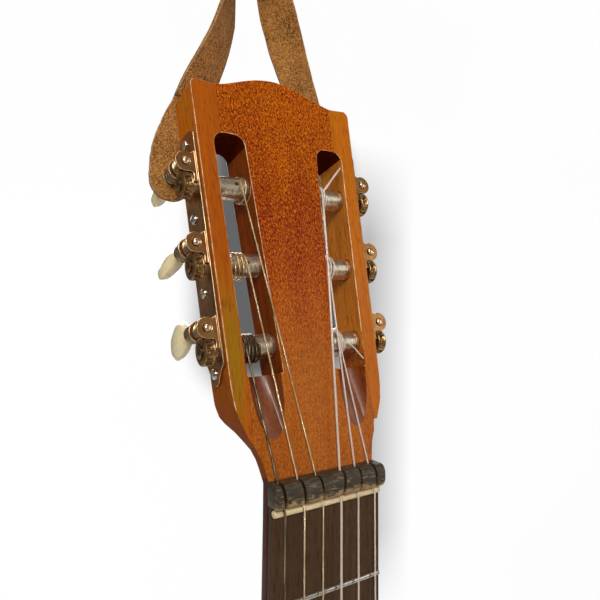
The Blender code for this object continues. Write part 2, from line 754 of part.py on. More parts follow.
def build_fretboard(guitar):
    low = BOARD_END
    high = 0.0019
    loop = [(board_half_width(low), low), (board_half_width(high), high),
            (-board_half_width(high), high), (-board_half_width(low), low)]
    board = add_mesh("fretboard", flat_shape([loop], 0, BOARD_THICK - GAP), "rosewood", guitar)
    groove = cylinder_between((-0.05, 0, 0), (0.05, 0, 0), ZERO_ROD_RADIUS + GAP, 16)
    boolean(board, add_cutter("zero_fret_groove", groove, guitar))
    rod = cylinder_between((-NUT_WIDTH / 2, 0, 0), (NUT_WIDTH / 2, 0, 0), ZERO_ROD_RADIUS, 16)
    add_mesh("zero_fret", rod, "bone", guitar)
    frets = []
    for number in range(1, FRET_COUNT + 1):
        z = -SCALE_LENGTH * (1 - 2 ** (-number / 12))
        half = board_half_width(z) - 0.0004
        crown = [(-0.0011, 0.0005), (-0.0011, -0.0003), (-0.0005, -FRET_HEIGHT),
                 (0.0005, -FRET_HEIGHT), (0.0011, -0.0003), (0.0011, 0.0005)]
        frets.append(moved(flat_shape([crown], -half, half),
                           Matrix.Translation((0, 0, z)) @ ALONG_X))
    boolean(board, add_cutter("frets", join_meshes(frets), guitar), "UNION")


def string_x(number, z):
    """Sideways place of a string between the nut and the saddle."""
    spread = mix(STRING_SPREAD_TOP, STRING_SPREAD_SADDLE, -z / SCALE_LENGTH)
    return (3.5 - number) / 5 * spread


def string_way(number, head):
    """The string from its post to the zero fret, lifted where it crosses the slot's edge."""
    side, level, leave_x, direction = WINDING_PLACES[number]
    radius = STRING_RADII[number]
    height = MIDDLE_POST_HEIGHT + LEVELS[level]
    leave = Vector((leave_x, POST_DEPTH - WINDING_INNER - 1.1 * radius, height))
    rest = Vector((string_x(number, 0), -ZERO_ROD_RADIUS - GAP - radius, 0))
    start = head.matrix_local.inverted() @ rest
    before = slot_wall(SLOT_INNER, start.z) - abs(start.x)
    after = slot_wall(SLOT_INNER, leave.z) - abs(leave.x)
    share = before / (before - after)
    way = [head.matrix_local @ leave, rest]
    if 0 < share < 1:
        rim = start.lerp(leave, share)
        rim.y = min(rim.y, -radius - 2 * GAP)
        way.insert(1, head.matrix_local @ rim)
    return way


def build_nut(guitar, head):
    low = NUT_BOTTOM_Z
    high = NUT_TOP_Z
    rise = NUT_HEIGHT
    profile = [(low, -rise * 0.72), (low + 0.0012, -rise * 0.95), (low + 0.0035, -rise),
               (high - 0.0030, -rise * 0.93), (high, -rise * 0.45), (high, BOARD_THICK - 0.0002),
               (high - 0.0019, BOARD_THICK - GAP), (low, BOARD_THICK - GAP)]
    nut = moved(flat_shape([profile], -0.0270, 0.0282), ALONG_X)
    nut = add_mesh("nut", nut, "ebony", guitar)
    cuts = []
    for number, radius in STRING_RADII.items():
        upper, lower = string_way(number, head)[-2:]
        ends = [upper.lerp(lower, 1 - z / upper.z).x for z in (low, high)]
        half = radius + 0.0004
        cuts.append(box_between((min(ends) - half, -0.010, low - 0.004),
                                (max(ends) + half, NUT_SLOT_FLOOR, high + 0.008)))
    boolean(nut, add_cutter("string_slots", join_meshes(cuts), guitar))


# ---------------------------------------------------------------- bridge

def build_bridge(guitar):
    low, high = BRIDGE_Z
    base = TOP_Y - GAP
    block = [(low, base), (low, base - BLOCK_HEIGHT + 0.001), (low + 0.001, base - BLOCK_HEIGHT),
             (low + 0.012, base - BLOCK_HEIGHT), (low + 0.0135, base - BLOCK_HEIGHT + 0.004),
             (low + 0.017, base - BLOCK_HEIGHT + 0.004), (low + 0.0185, base - BLOCK_HEIGHT + 0.0015),
             (high - 0.0015, base - BLOCK_HEIGHT + 0.0015), (high, base - BLOCK_HEIGHT + 0.003),
             (high, base)]
    middle = moved(flat_shape([block], -BRIDGE_BLOCK_HALF, BRIDGE_BLOCK_HALF), ALONG_X)
    bridge = add_mesh("bridge", middle, "rosewood", guitar)
    wing = [(low, base), (low, base - WING_HEIGHT + 0.001), (low + 0.002, base - WING_HEIGHT),
            (high - 0.002, base - WING_HEIGHT), (high, base - WING_HEIGHT + 0.001), (high, base)]
    wings = moved(flat_shape([wing], -BRIDGE_HALF_LENGTH, BRIDGE_HALF_LENGTH), ALONG_X)
    boolean(bridge, add_cutter("bridge_wings", wings, guitar), "UNION")
    slot = box_between((-0.038, -0.020, -SCALE_LENGTH - SADDLE_THICK / 2 - GAP),
                       (0.038, base - 0.0025, -SCALE_LENGTH + SADDLE_THICK / 2 + GAP))
    boolean(bridge, add_cutter("saddle_slot", slot, guitar))
    holes = [cylinder_between((string_x(number, -SCALE_LENGTH), TIE_HOLE_Y, low - 0.001),
                              (string_x(number, -SCALE_LENGTH), TIE_HOLE_Y, low + 0.016),
                              TIE_HOLE_RADIUS, 8) for number in STRING_RADII]
    boolean(bridge, add_cutter("tie_holes", join_meshes(holes), guitar))
    saddle = box_between((-0.0377, SADDLE_TOP, -SCALE_LENGTH - SADDLE_THICK / 2),
                         (0.0377, base - 0.0025 - GAP, -SCALE_LENGTH + SADDLE_THICK / 2))
    add_mesh("saddle", saddle, "bone", guitar)


# ---------------------------------------------------------------- tuning machines

def side_frame(name, sign, head):
    """An empty on the head's side at the middle post: +X outward, +Y into the head, +Z up."""
    outward = Vector((math.cos(SIDE_TAPER), 0, -math.sin(SIDE_TAPER)))
    along = Vector((math.sin(SIDE_TAPER), 0, math.cos(SIDE_TAPER)))
    if sign < 0:
        outward.x = -outward.x
        along.x = -along.x
    depth = Vector((0, 1, 0))
    matrix = Matrix((outward, depth, along)).transposed().to_4x4()
    matrix.translation = (sign * head_half_width(MIDDLE_POST_HEIGHT), 0, MIDDLE_POST_HEIGHT)
    return add_empty("side_" + name + "_frame", head, matrix)


def ear_shape(low, high):
    """One ear, bent out of the plate: a round lobe that sweeps down to the plate."""
    inner = GAP + PLATE_METAL / 2
    lobe = arc(WORM_OUT, 0, EAR_RADIUS, 100, -110, 8)
    sweep = [(WORM_OUT - 0.0026, -0.0040), (WORM_OUT - 0.0030, -0.0054),
             (WORM_OUT - 0.0038, -0.0074), (inner, -0.0082), (inner, 0.0048)]
    return flat_shape([lobe + sweep, circle(WORM_OUT, 0, EAR_HOLE, 8)], low, high)


def build_plate(name, frame):
    shallow, deep = PLATE_DEPTHS
    middle = (shallow + deep) / 2
    loop = [(shallow, PLATE_HIGH - 0.002), (shallow, PLATE_LOW + 0.009),
            (shallow + 0.003, PLATE_LOW + 0.006),
            *arc(SCREW_DEPTH, PLATE_LOW + 0.0042, 0.0042, 200, 340, 5),
            (deep - 0.002, PLATE_LOW + 0.007), (deep, PLATE_LOW + 0.010), (deep, PLATE_HIGH - 0.002),
            (deep - 0.003, PLATE_HIGH), (middle, PLATE_HIGH + 0.0012), (shallow + 0.003, PLATE_HIGH)]
    holes = [circle(POST_DEPTH, z, POST_NECK_RADIUS + BORE_CLEARANCE, 12)
             for z in LEVELS.values()]
    sheet = moved(flat_shape([loop, *holes], GAP, GAP + PLATE_METAL), SWAP_X_Y)
    plate = add_mesh("tuner_plate_" + name, sheet, "aged_brass", frame)
    for level, z in LEVELS.items():
        lift = Matrix.Translation((0, 0, z + WORM_OFFSET))
        for label, (low, high) in (("front", EAR_FRONT), ("rear", EAR_REAR)):
            mesh = ear_shape(low, high)
            mesh.transform(lift)
            boolean(plate, add_cutter(f"ear_{name}_{level}_{label}", mesh, frame), "UNION")
    return plate


def screw_mesh():
    """A domed wood screw that points along -X, with its head's seat at x = 0."""
    profile = [(0.0006, 0.0014), (0.0015, 0.0011), (0.0021, 0.0006), (0.0023, 0.0),
               (0.0012, 0.0), (0.0012, -0.0050), (0.0004, -0.0068)]
    mesh = turned_shape(profile, 8)
    mesh.transform(Matrix.Rotation(math.radians(90), 4, "Y"))
    return mesh


def gear_mesh():
    """A worm wheel on the X axis with a tooth gap at the top, and a bore for the post's seat."""
    loop = []
    for tooth in range(GEAR_TEETH):
        middle = math.pi / 2 + 2 * math.pi * (tooth + 0.5) / GEAR_TEETH
        for radius, half in ((GEAR_ROOT, 0.00060), (GEAR_RADIUS, 0.00035)):
            loop.append((middle - half / radius, radius))
        for radius, half in ((GEAR_RADIUS, 0.00035), (GEAR_ROOT, 0.00060)):
            loop.append((middle + half / radius, radius))
    outline = [(radius * math.cos(angle), radius * math.sin(angle)) for angle, radius in loop]
    low, high = GEAR_SPAN
    mesh = flat_shape([outline, circle(0, 0, POST_SEAT_RADIUS + GAP, 12)], low, high)
    return moved(mesh, SWAP_X_Y)


def post_mesh(post_height):
    """The string roller on the X axis, from its tip in the head's core to its riveted end."""
    v = MIDDLE_POST_HEIGHT + post_height
    tip = slot_wall(SLOT_INNER, v) - head_half_width(v) - POST_TIP_IN_CORE
    bevel = 0.0006
    end = GEAR_SPAN[1] + GAP
    profile = [(0.0010, end + 0.0009), (0.0024, end + 0.0006), (0.0027, end),
               (POST_SEAT_RADIUS, end), (POST_SEAT_RADIUS, GEAR_SPAN[0] - GAP),
               (POST_NECK_RADIUS, GEAR_SPAN[0] - GAP), (POST_NECK_RADIUS, -0.0004),
               (POST_RADIUS, -0.0004), (POST_RADIUS, tip + bevel), (POST_RADIUS - bevel, tip)]
    mesh = turned_shape(profile, 12)
    mesh.transform(Matrix.Rotation(math.radians(90), 4, "Y"))
    return mesh


def worm_mesh():
    """Worm shaft on the Y axis: riveted end, root, ringed collar and the end in the button."""
    ring = 0.0034
    groove = 0.0027
    low, high = COLLAR_SPAN
    step = (high - low) / 4
    rings = []
    for i in range(2):
        bottom = low + 2 * i * step
        rings += [(ring, bottom), (ring, bottom + step), (groove, bottom + step),
                  (groove, bottom + 2 * step)]
    root_low = EAR_FRONT[1] + GAP
    root_high = EAR_REAR[0] - GAP
    front = EAR_FRONT[0] - GAP
    profile = [(0.0008, front - 0.0010), (0.0018, front - 0.0007), (0.0023, front),
               (SHAFT_RADIUS, front), (SHAFT_RADIUS, root_low), (WORM_ROOT, root_low),
               (WORM_ROOT, root_high), (SHAFT_RADIUS, root_high), (SHAFT_RADIUS, low), *rings,
               (0.0021, high), (0.0021, BUTTON_START - GAP), (SHAFT_RADIUS, BUTTON_START - GAP),
               (SHAFT_RADIUS, SHAFT_END)]
    mesh = turned_shape([(radius, -y) for radius, y in profile], 10)
    mesh.transform(Matrix.Rotation(math.radians(90), 4, "X"))
    return mesh


def thread_mesh():
    """The worm's right-handed thread, with a crest facing the gear at the post's depth."""
    section = [(WORM_ROOT - 0.0003, -0.00065), (WORM_RADIUS, -0.00025),
               (WORM_RADIUS, 0.00025), (WORM_ROOT - 0.0003, 0.00065)]
    per_turn = 8
    half = int(WORM_TURNS * per_turn / 2)
    bm = bmesh.new()
    rings = []
    for i in range(-half, half + 1):
        angle = 2 * math.pi * i / per_turn
        outward = Vector((-math.sin(angle), 0, -math.cos(angle)))
        y = POST_DEPTH + WORM_LEAD * i / per_turn
        rings.append([bm.verts.new(outward * radius + Vector((0, y + shift, 0)))
                      for radius, shift in section])
    skin(bm, rings)
    return mesh_from_bmesh(bm)


def button_mesh(turn):
    """An oval button on the Y axis, narrow at the shaft, turned about it."""
    bm = bmesh.new()
    bmesh.ops.create_uvsphere(bm, u_segments=10, v_segments=7, radius=0.5)
    for vert in bm.verts:
        share = vert.co.z + 0.5
        narrow = mix(0.62, 1.0, smooth_step(share / 0.75))
        vert.co = Vector((vert.co.x * BUTTON_THICK, share * BUTTON_LENGTH,
                          vert.co.y * BUTTON_WIDE * narrow))
    mesh = mesh_from_bmesh(bm)
    mesh.transform(Matrix.Translation((0, BUTTON_START, 0)) @
                   Matrix.Rotation(math.radians(turn), 4, "Y"))
    return mesh


def build_machines(head, neck, wings):
    for side, sign in (("left", -1), ("right", 1)):
        frame = side_frame(side, sign, head)
        plate = build_plate(side, frame)
        screws = []
        for index, z in enumerate(SCREW_HEIGHTS):
            screw = screw_mesh()
            screw.transform(Matrix.Translation((PLATE_METAL, SCREW_DEPTH, z)))
            screws.append(screw)
            bore = cylinder_between((-0.0066, SCREW_DEPTH, z), (0.001, SCREW_DEPTH, z), 0.0016, 8)
            boolean(wings[side], add_cutter(f"screw_bore_{side}_{index}", bore, frame))
        boolean(plate, add_cutter("plate_screws_" + side, join_meshes(screws), frame), "UNION")
        for level, z in LEVELS.items():
            tag = side + "_" + level
            bore = cylinder_between((-POST_BORE, POST_DEPTH, z), (0.002, POST_DEPTH, z),
                                    POST_RADIUS + BORE_CLEARANCE, 16)
            cutter = add_cutter("post_bore_" + tag, bore, frame)
            boolean(neck, cutter)
            boolean(wings[side], cutter)
            axis = add_empty("post_axis_" + tag, frame, Matrix.Translation((0, POST_DEPTH, z)))
            add_mesh("post_" + tag, post_mesh(z), "post_metal", axis)
            add_mesh("gear_" + tag, gear_mesh(), "bronze", axis)
            worm_axis = add_empty("worm_axis_" + tag, frame,
                                  Matrix.Translation((WORM_OUT, 0, z + WORM_OFFSET)))
            worm = add_mesh("worm_" + tag, worm_mesh(), "aged_brass", worm_axis)
            boolean(worm, add_cutter("thread_" + tag, thread_mesh(), worm_axis), "UNION")
            button = add_mesh("button_" + tag, button_mesh(BUTTON_TURNS[tag]), "ivoroid", worm_axis)
            socket = cylinder_between((0, BUTTON_START - 0.002, 0), (0, SHAFT_END + GAP, 0),
                                      SHAFT_RADIUS + GAP, 10)
            boolean(button, add_cutter("socket_" + tag, socket, worm_axis))


# ---------------------------------------------------------------- strings

def build_strings(guitar, head):
    low = BRIDGE_Z[0]
    for number, (side, level, leave_x, direction) in WINDING_PLACES.items():
        radius = STRING_RADII[number]
        height = MIDDLE_POST_HEIGHT + LEVELS[level]
        sign = 1 if side == "right" else -1
        near = leave_x - direction * radius * 1.5
        far = near + direction * WINDING_TURNS * 2 * radius
        ring = flat_shape([circle(0, 0, WINDING_INNER + 2.2 * radius, 16),
                           circle(0, 0, WINDING_INNER, 16)], min(near, far), max(near, far))
        ring = moved(ring, Matrix.Translation((0, POST_DEPTH, height)) @ SWAP_X_Y)
        lean = Matrix.Rotation(sign * SIDE_TAPER, 4, "Y")
        pivot = Matrix.Translation((sign * head_half_width(height), 0, height))
        ring.transform(head.matrix_local @ pivot @ lean @ pivot.inverted())
        saddle_y = SADDLE_TOP - GAP - radius
        hole_x = string_x(number, -SCALE_LENGTH)
        points = [*string_way(number, head),
                  (hole_x, saddle_y, -SCALE_LENGTH + SADDLE_THICK / 2),
                  (hole_x, saddle_y, -SCALE_LENGTH - SADDLE_THICK / 2),
                  (hole_x, TIE_HOLE_Y, low + 0.0140), (hole_x, TIE_HOLE_Y, low - 0.0030)]
        material = "nylon" if number < 4 else "wound_wire"
        string = add_mesh(f"string_{number}", tube(points, radius, 2), material, guitar)
        boolean(string, add_cutter(f"windings_{number}", ring, guitar), "UNION")


# ---------------------------------------------------------------- hanging strap

def strap_rows(head):
    """Half of the strap as rows of (middle, turn of its width out of the face), from the peg."""
    radius = PEG_RADIUS + STRAP_THICK / 2 + GAP
    rows = []
    for i in range(5):
        angle = PEG_WRAP * i / 4
        rows.append((Vector((radius * math.sin(angle), PEG_Y, PEG_Z + radius * math.cos(angle))),
                     math.radians(90)))
    path = [tuple(rows[-1][0]), *STRAP_BEND]
    path += [tuple(head.matrix_local @ Vector((x, STRAP_DEPTH, v))) for x, v in STRAP_ON_HEAD]
    smooth = [Vector(point) for point in catmull(path, 3)][1:]
    upper_z = rows[-1][0].z
    edge_z = (head.matrix_local @ Vector((0, STRAP_DEPTH, STRAP_TWIST_START))).z
    for point in smooth:
        share = max((point.z - edge_z) / (upper_z - edge_z), 0)
        rows.append((point, math.radians(mix(0, 90, share ** 1.7))))
    return rows


def build_strap(guitar, head):
    rows = strap_rows(head)
    end = rows[-1][0]
    depth_axis = head.matrix_local.to_3x3() @ Vector((0, 1, 0))
    bm = bmesh.new()
    columns = []
    for index, (middle, turn) in enumerate(rows):
        before = rows[max(index - 1, 0)][0]
        after = rows[min(index + 1, len(rows) - 1)][0]
        along = (after - before).normalized()
        if index == 0:
            along = Vector((1, 0, 0))
        across = depth_axis.cross(along).normalized()
        normal = along.cross(across)
        direction = across * math.cos(turn) + normal * math.sin(turn)
        if index == 0:
            direction = Vector((0, direction.y, 0)).normalized()
        to_end = (middle - end).length
        half = STRAP_WIDTH / 2
        if to_end < half:
            half = math.sqrt(max(half ** 2 - (half - to_end) ** 2, 0.0016 ** 2))
        columns.append([bm.verts.new(middle + direction * half * side) for side in (-1, 0, 1)])
    for first, second in zip(columns, columns[1:]):
        for i in range(2):
            bm.faces.new((first[i], first[i + 1], second[i + 1], second[i]))
    strap = add_mesh("hanging_strap", mesh_from_bmesh(bm), "suede", guitar)
    mirror = strap.modifiers.new("other_half", "MIRROR")
    mirror.use_axis = (True, False, False)
    mirror.merge_threshold = 0.0001
    thick = strap.modifiers.new("leather", "SOLIDIFY")
    thick.thickness = STRAP_THICK
    thick.offset = 0
    thick.use_even_offset = True
    x, v = STRAP_HOLE_AT
    for name, sign in (("right", 1), ("left", -1)):
        hole = cylinder_between((sign * x, STRAP_DEPTH - 0.003, v),
                                (sign * x, STRAP_DEPTH + 0.003, v), STRAP_HOLE, 10)
        boolean(strap, add_cutter("strap_hole_" + name, hole, head))


# ---------------------------------------------------------------- whole guitar

def main():
    guitar = add_empty("guitar", matrix=Matrix.Translation(
        (0, -PEG_Y, -(PEG_Z + PEG_RADIUS + GAP))))
    tilt = Matrix.Rotation(-HEAD_ANGLE, 4, "X")
    head = add_empty("head", guitar, Matrix.Translation((0, TOP_Y, HEAD_START_Z)) @ tilt)
    build_plates(guitar)
    build_bindings(guitar)
    build_sides(guitar)
    build_linings(guitar)
    build_blocks(guitar)
    build_braces(guitar)
    carving = add_cutter("head_envelope", head_envelope(), head)
    neck = build_neck(guitar, head, carving)
    wings = build_wings(head, carving)
    cut_slots(neck, wings, head)
    build_fretboard(guitar)
    build_nut(guitar, head)
    build_bridge(guitar)
    build_machines(head, neck, wings)
    build_strings(guitar, head)
    build_strap(guitar, head)


clear_scene()
PARTS = new_collection("classical_guitar")
CUTTERS = new_collection("cutters")
main()
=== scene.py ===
"""Looks of a classical guitar that hangs from a leather strap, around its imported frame.

The world's origin is the point that the strap hangs from. Three working frames are used, in
metres: the guitar frame, with Z up the neck, the fretboard's face at Y = 0 and the zero fret at
Z = 0; the head frame, with X sideways, Y into the wood and Z up the head's face; and one frame at
each side of the head, with X outward. Pieces of the head are drawn in the head frame and turned
into the guitar frame.
"""
import math
import random

import bmesh
import bpy
from mathutils import Matrix, Vector, noise


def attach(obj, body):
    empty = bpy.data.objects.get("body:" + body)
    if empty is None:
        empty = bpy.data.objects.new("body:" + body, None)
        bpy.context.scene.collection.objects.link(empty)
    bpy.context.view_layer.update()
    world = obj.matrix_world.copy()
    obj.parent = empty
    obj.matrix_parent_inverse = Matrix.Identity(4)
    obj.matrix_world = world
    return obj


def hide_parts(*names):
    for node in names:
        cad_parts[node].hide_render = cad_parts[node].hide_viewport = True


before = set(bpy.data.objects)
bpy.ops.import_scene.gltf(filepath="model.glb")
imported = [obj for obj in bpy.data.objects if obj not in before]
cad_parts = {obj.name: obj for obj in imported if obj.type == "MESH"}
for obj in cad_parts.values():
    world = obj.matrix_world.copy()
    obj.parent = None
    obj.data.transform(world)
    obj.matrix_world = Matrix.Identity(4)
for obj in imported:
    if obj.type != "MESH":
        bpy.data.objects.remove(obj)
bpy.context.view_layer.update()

# ---------------------------------------------------------------- sizes shared with the frame

SCALE_LENGTH = 0.650
BOARD_THICK = 0.0038
NUT_WIDTH = 0.052
BODY_JOIN_WIDTH = 0.062
BOARD_END = -0.438
STRING_RADII = {1: 0.00036, 2: 0.00041, 3: 0.00051, 4: 0.00037, 5: 0.00044, 6: 0.00053}
ZERO_ROD_RADIUS = 0.0016
BODY_TOP_Z = -SCALE_LENGTH / 2
BODY_LENGTH = 0.488
BODY_DEPTH = 0.096
PLATE_THICK = 0.0025
SIDE_THICK = 0.0020
BINDING_WIDE = 0.0020
BINDING_TALL = 0.0030
SOUNDHOLE_Z = -0.483
SOUNDHOLE_RADIUS = 0.0425
ROSETTE_INNER = 0.0480
ROSETTE_OUTER = 0.0620
TOP_Y = BOARD_THICK
BACK_Y = BOARD_THICK + BODY_DEPTH

HEAD_ANGLE = math.radians(14.18)
HEAD_START_Z = 0.00975
HEAD_THICK = 0.0195
HEAD_TOP = 0.1700
HEAD_HUMP = 0.0080
HUMP_HALF = 0.0310
GLUE_LINE = 0.0300
WING_STARTS = {-1: 0.0150, 1: 0.0180}
CORNER_HEIGHT = 0.1680
SIDE_TAPER = math.atan(0.0047 / 0.130)
FOOT_HEIGHT = 0.0550
SHOULDER = ((0.0, 0.0252), (0.0045, 0.0262), (0.0085, 0.0271), (0.0116, 0.0282),
            (0.0150, 0.0299), (0.0184, 0.0318), (0.0227, 0.0337), (0.0256, 0.0349),
            (0.0290, 0.0359), (0.0330, 0.0366), (0.0380, 0.0371), (0.0450, 0.0374),
            (FOOT_HEIGHT, 0.0377))
SLOT_FOOT = 0.0426
SLOT_INNER = (0.0139, 0.0190)
SLOT_OUTER = (0.0302, 0.0335)
SLOT_WALL_HEIGHTS = (0.0550, 0.1430)
SLOT_TOP = 0.1472
SLOT_CORNER = 0.0052
RAMP_RADIUS = 0.0073
RAMP_START = 0.0180
RAMP_SLOPE = math.atan(0.36)

LEVELS = {"lower": -0.0350, "middle": 0.0, "upper": 0.0350}
MIDDLE_POST_HEIGHT = 0.0891
POST_DEPTH = 0.0070
POST_RADIUS = 0.0050
WORM_OFFSET = 0.0088
WORM_OUT = 0.0056
SCREW_HEIGHTS = (-0.0440, -0.0106, 0.0215, 0.0550)
SCREW_DEPTH = 0.0110
PLATE_METAL = 0.0010
GEAR_TEETH = 14
GEAR_SPAN = (0.0033, 0.0079)
BUTTON_START = 0.0221
BUTTON_TURNS = {
    "left_upper": -30, "left_middle": -40, "left_lower": -14,
    "right_upper": 40, "right_middle": -20, "right_lower": 80,
}
STRING_POSTS = {             # string: its post, x where it leaves the windings, their direction
    1: ("right", "lower", 0.0180, 1), 2: ("right", "middle", 0.0179, 1),
    3: ("right", "upper", 0.0200, 1), 4: ("left", "upper", -0.0222, 1),
    5: ("left", "middle", -0.0236, -1), 6: ("left", "lower", -0.0284, 1),
}
STRAP_WIDTH = 0.0190
STRAP_THICK = 0.0018
STRAP_DEPTH = 0.0208
PEG_Y = 0.0680
PEG_Z = 0.2455
PEG_RADIUS = 0.0060
BUTTON_SIZE = (0.0080, 0.0186, 0.0189)      # thick, long and wide
SOCKET_END = 0.0300
GAP = 0.0003
GLUE_GAP = 0.00005
SADDLE_HALF = 0.00125
SADDLE_TOP = -0.0077
TIE_HOLE_Y = -0.0016
TIE_HOLE_RADIUS = 0.0011
TIE_RUN = (-0.6580, -0.6750)                # where a string enters the bridge, and where it ends
BRIDGE_SPAN = (-0.6720, -0.6440)
BRIDGE_HEIGHT = 0.0087
BRIDGE_HALVES = (0.0410, 0.0950)            # of its middle block and of both wings together
BRIDGE_WING_HEIGHT = 0.0035
SADDLE_HALF_LENGTH = 0.0377
NUT_SPAN = (0.0023, 0.0115)
NUT_HEIGHT = 0.0042
NUT_MIDDLE = (0.0068, 0.0002)
NUT_ENDS = {-1: (0.0270, 0.0010), 1: (0.0282, 0.0032)}   # half length, length of the round end
SIDES = (("left", -1), ("right", 1))

GUITAR = Matrix.Translation((0, -PEG_Y, -(PEG_Z + PEG_RADIUS + GAP)))
HEAD = (GUITAR @ Matrix.Translation((0, TOP_Y, HEAD_START_Z))
        @ Matrix.Rotation(-HEAD_ANGLE, 4, "X"))
HEAD_IN_GUITAR = GUITAR.inverted() @ HEAD
SWAP_X_Y = Matrix(((0, 1, 0, 0), (1, 0, 0, 0), (0, 0, 1, 0), (0, 0, 0, 1)))
ALONG_X = Matrix(((0, 1, 0, 0), (0, 0, 1, 0), (1, 0, 0, 0), (0, 0, 0, 1)))
STAND_UP = Matrix.Rotation(math.radians(90), 4, "X")

# ---------------------------------------------------------------- materials


def rgb(red, green, blue):
    """A colour given as display values from 0 to 255."""
    return tuple((c / 255 / 12.92) if c <= 10.3 else ((c / 255 + 0.055) / 1.055) ** 2.4
                 for c in (red, green, blue))


class Shade:
    """A material under construction: short names for its nodes and links."""

    def __init__(self, name, **sockets):
        self.material = bpy.data.materials.new(name)
        self.material.use_nodes = True
        self.tree = self.material.node_tree
        self.shader = self.tree.nodes["Principled BSDF"]
        for socket, value in sockets.items():
            self.shader.inputs[socket.replace("_", " ")].default_value = value
        self.place = self.node("ShaderNodeTexCoord").outputs["Object"]

    def lean_with_head(self):
        """Read places in the head frame, on pieces that are drawn in the guitar frame."""
        turn = HEAD_IN_GUITAR.inverted()
        self.place = self.node("ShaderNodeMapping", {0: self.place, 1: turn.to_translation(),
                                                     2: turn.to_euler()}).outputs[0]

    def node(self, kind, inputs=None, **settings):
        made = self.tree.nodes.new(kind)
        for key, value in settings.items():
            setattr(made, key, value)
        for key, value in (inputs or {}).items():
            if isinstance(value, bpy.types.NodeSocket):
                self.tree.links.new(value, made.inputs[key])
            elif value is not None:
                made.inputs[key].default_value = value
        return made

    def noise(self, scale, detail=4.0, roughness=0.6, distortion=0.0):
        """Noise of one scale, or of one scale for each of X, Y and Z."""
        at = self.place
        if isinstance(scale, tuple):
            at = self.node("ShaderNodeMapping", {0: at, 3: scale}).outputs[0]
            scale = 1.0
        return self.node("ShaderNodeTexNoise", {"Vector": at, "Scale": scale, "Detail": detail,
                                                "Roughness": roughness,
                                                "Distortion": distortion}).outputs[0]

    def spread(self, value, start, end):
        """The usual middle range of a noise, stretched from start to end."""
        return self.ramp(value, 0.3, 0.7, start, end)

    def ramp(self, value, low, high, start=0.0, end=1.0):
        return self.node("ShaderNodeMapRange", {0: value, 1: low, 2: high, 3: start, 4: end},
                         clamp=True).outputs[0]

    def math(self, operation, first, second=0.0):
        return self.node("ShaderNodeMath", {0: first, 1: second}, operation=operation).outputs[0]

    def plus(self, first, second):
        return self.math("ADD", first, second)

    def minus(self, first, second):
        return self.math("SUBTRACT", first, second)

    def times(self, first, second):
        return self.math("MULTIPLY", first, second)

    def mix(self, share, first, second):
        first, second = (colour if isinstance(colour, bpy.types.NodeSocket) else (*colour, 1.0)
                         for colour in (first, second))
        return self.node("ShaderNodeMix", {0: share, 6: first, 7: second},
                         data_type="RGBA").outputs[2]

    def axis(self, name):
        return self.node("ShaderNodeSeparateXYZ", {0: self.place}).outputs[name]

    def finish(self, colour, roughness=None, height=None, bump=0.2, distance=0.0003):
        self.tree.links.new(colour, self.shader.inputs["Base Color"])
        if roughness is not None:
            self.tree.links.new(roughness, self.shader.inputs["Roughness"])
        if height is not None:
            bumped = self.node("ShaderNodeBump", {"Strength": bump, "Distance": distance,
                                                  "Height": height})
            self.tree.links.new(bumped.outputs[0], self.shader.inputs["Normal"])
        return self.material


def wood(name, light, dark, pore, grain=(420, 16), pores=0.6, pore_size=(1500, 220),
         roughness=(0.34, 0.48), coat=0.06, bump=0.12, stain=None, gloss_level=0.16, foot=None,
         along="Z", on_head=False):
    """Long streaks, broad bands and short dark pores along one axis."""
    shade = Shade(name, Coat_Weight=coat, Coat_Roughness=0.18, Specular_IOR_Level=gloss_level)
    if on_head:
        shade.lean_with_head()

    def lay(across, length):
        return (length, across, across) if along == "X" else (across, across, length)

    streaks = shade.noise(lay(*grain), 5, 0.65, 0.4)
    bands = shade.noise(lay(55, 5), 3, 0.5, 0.6)
    share = shade.plus(shade.ramp(streaks, 0.25, 0.75, 0, 0.62), shade.spread(bands, 0, 0.38))
    colour = shade.mix(share, light, dark)
    # a tinted patch with a rough edge over the wood
    if stain:
        spot, tint, reach = stain
        patch = shade.node("ShaderNodeMapping", {0: shade.place, 1: [-c for c in spot]})
        patch = shade.node("ShaderNodeMapping", {0: patch.outputs[0], 3: reach})
        length = shade.node("ShaderNodeVectorMath", {0: patch.outputs[0]}, operation="LENGTH")
        rough_edge = shade.plus(length.outputs[1], shade.spread(streaks, -0.5, 0.5))
        colour = shade.mix(shade.ramp(rough_edge, 1.0, 0.3, 0, 0.85), colour, tint)
    # painted shade: darker towards the head's foot
    if foot:
        low, high, tint = foot
        colour = shade.mix(shade.ramp(shade.axis("Z"), high, low, 0, 0.9), colour, tint)
    fleck = shade.noise(lay(*pore_size), 2, 0.6, 0.2)
    spots = shade.ramp(fleck, 0.54, 0.66, 0, pores)
    colour = shade.mix(spots, colour, pore)
    gloss = shade.spread(streaks, *roughness)
    height = shade.minus(shade.times(streaks, 0.4), spots)
    return shade.finish(colour, gloss, height, bump, 0.0002)


def head_wood(*looks, **settings):
    return wood(*looks, on_head=True, **settings)


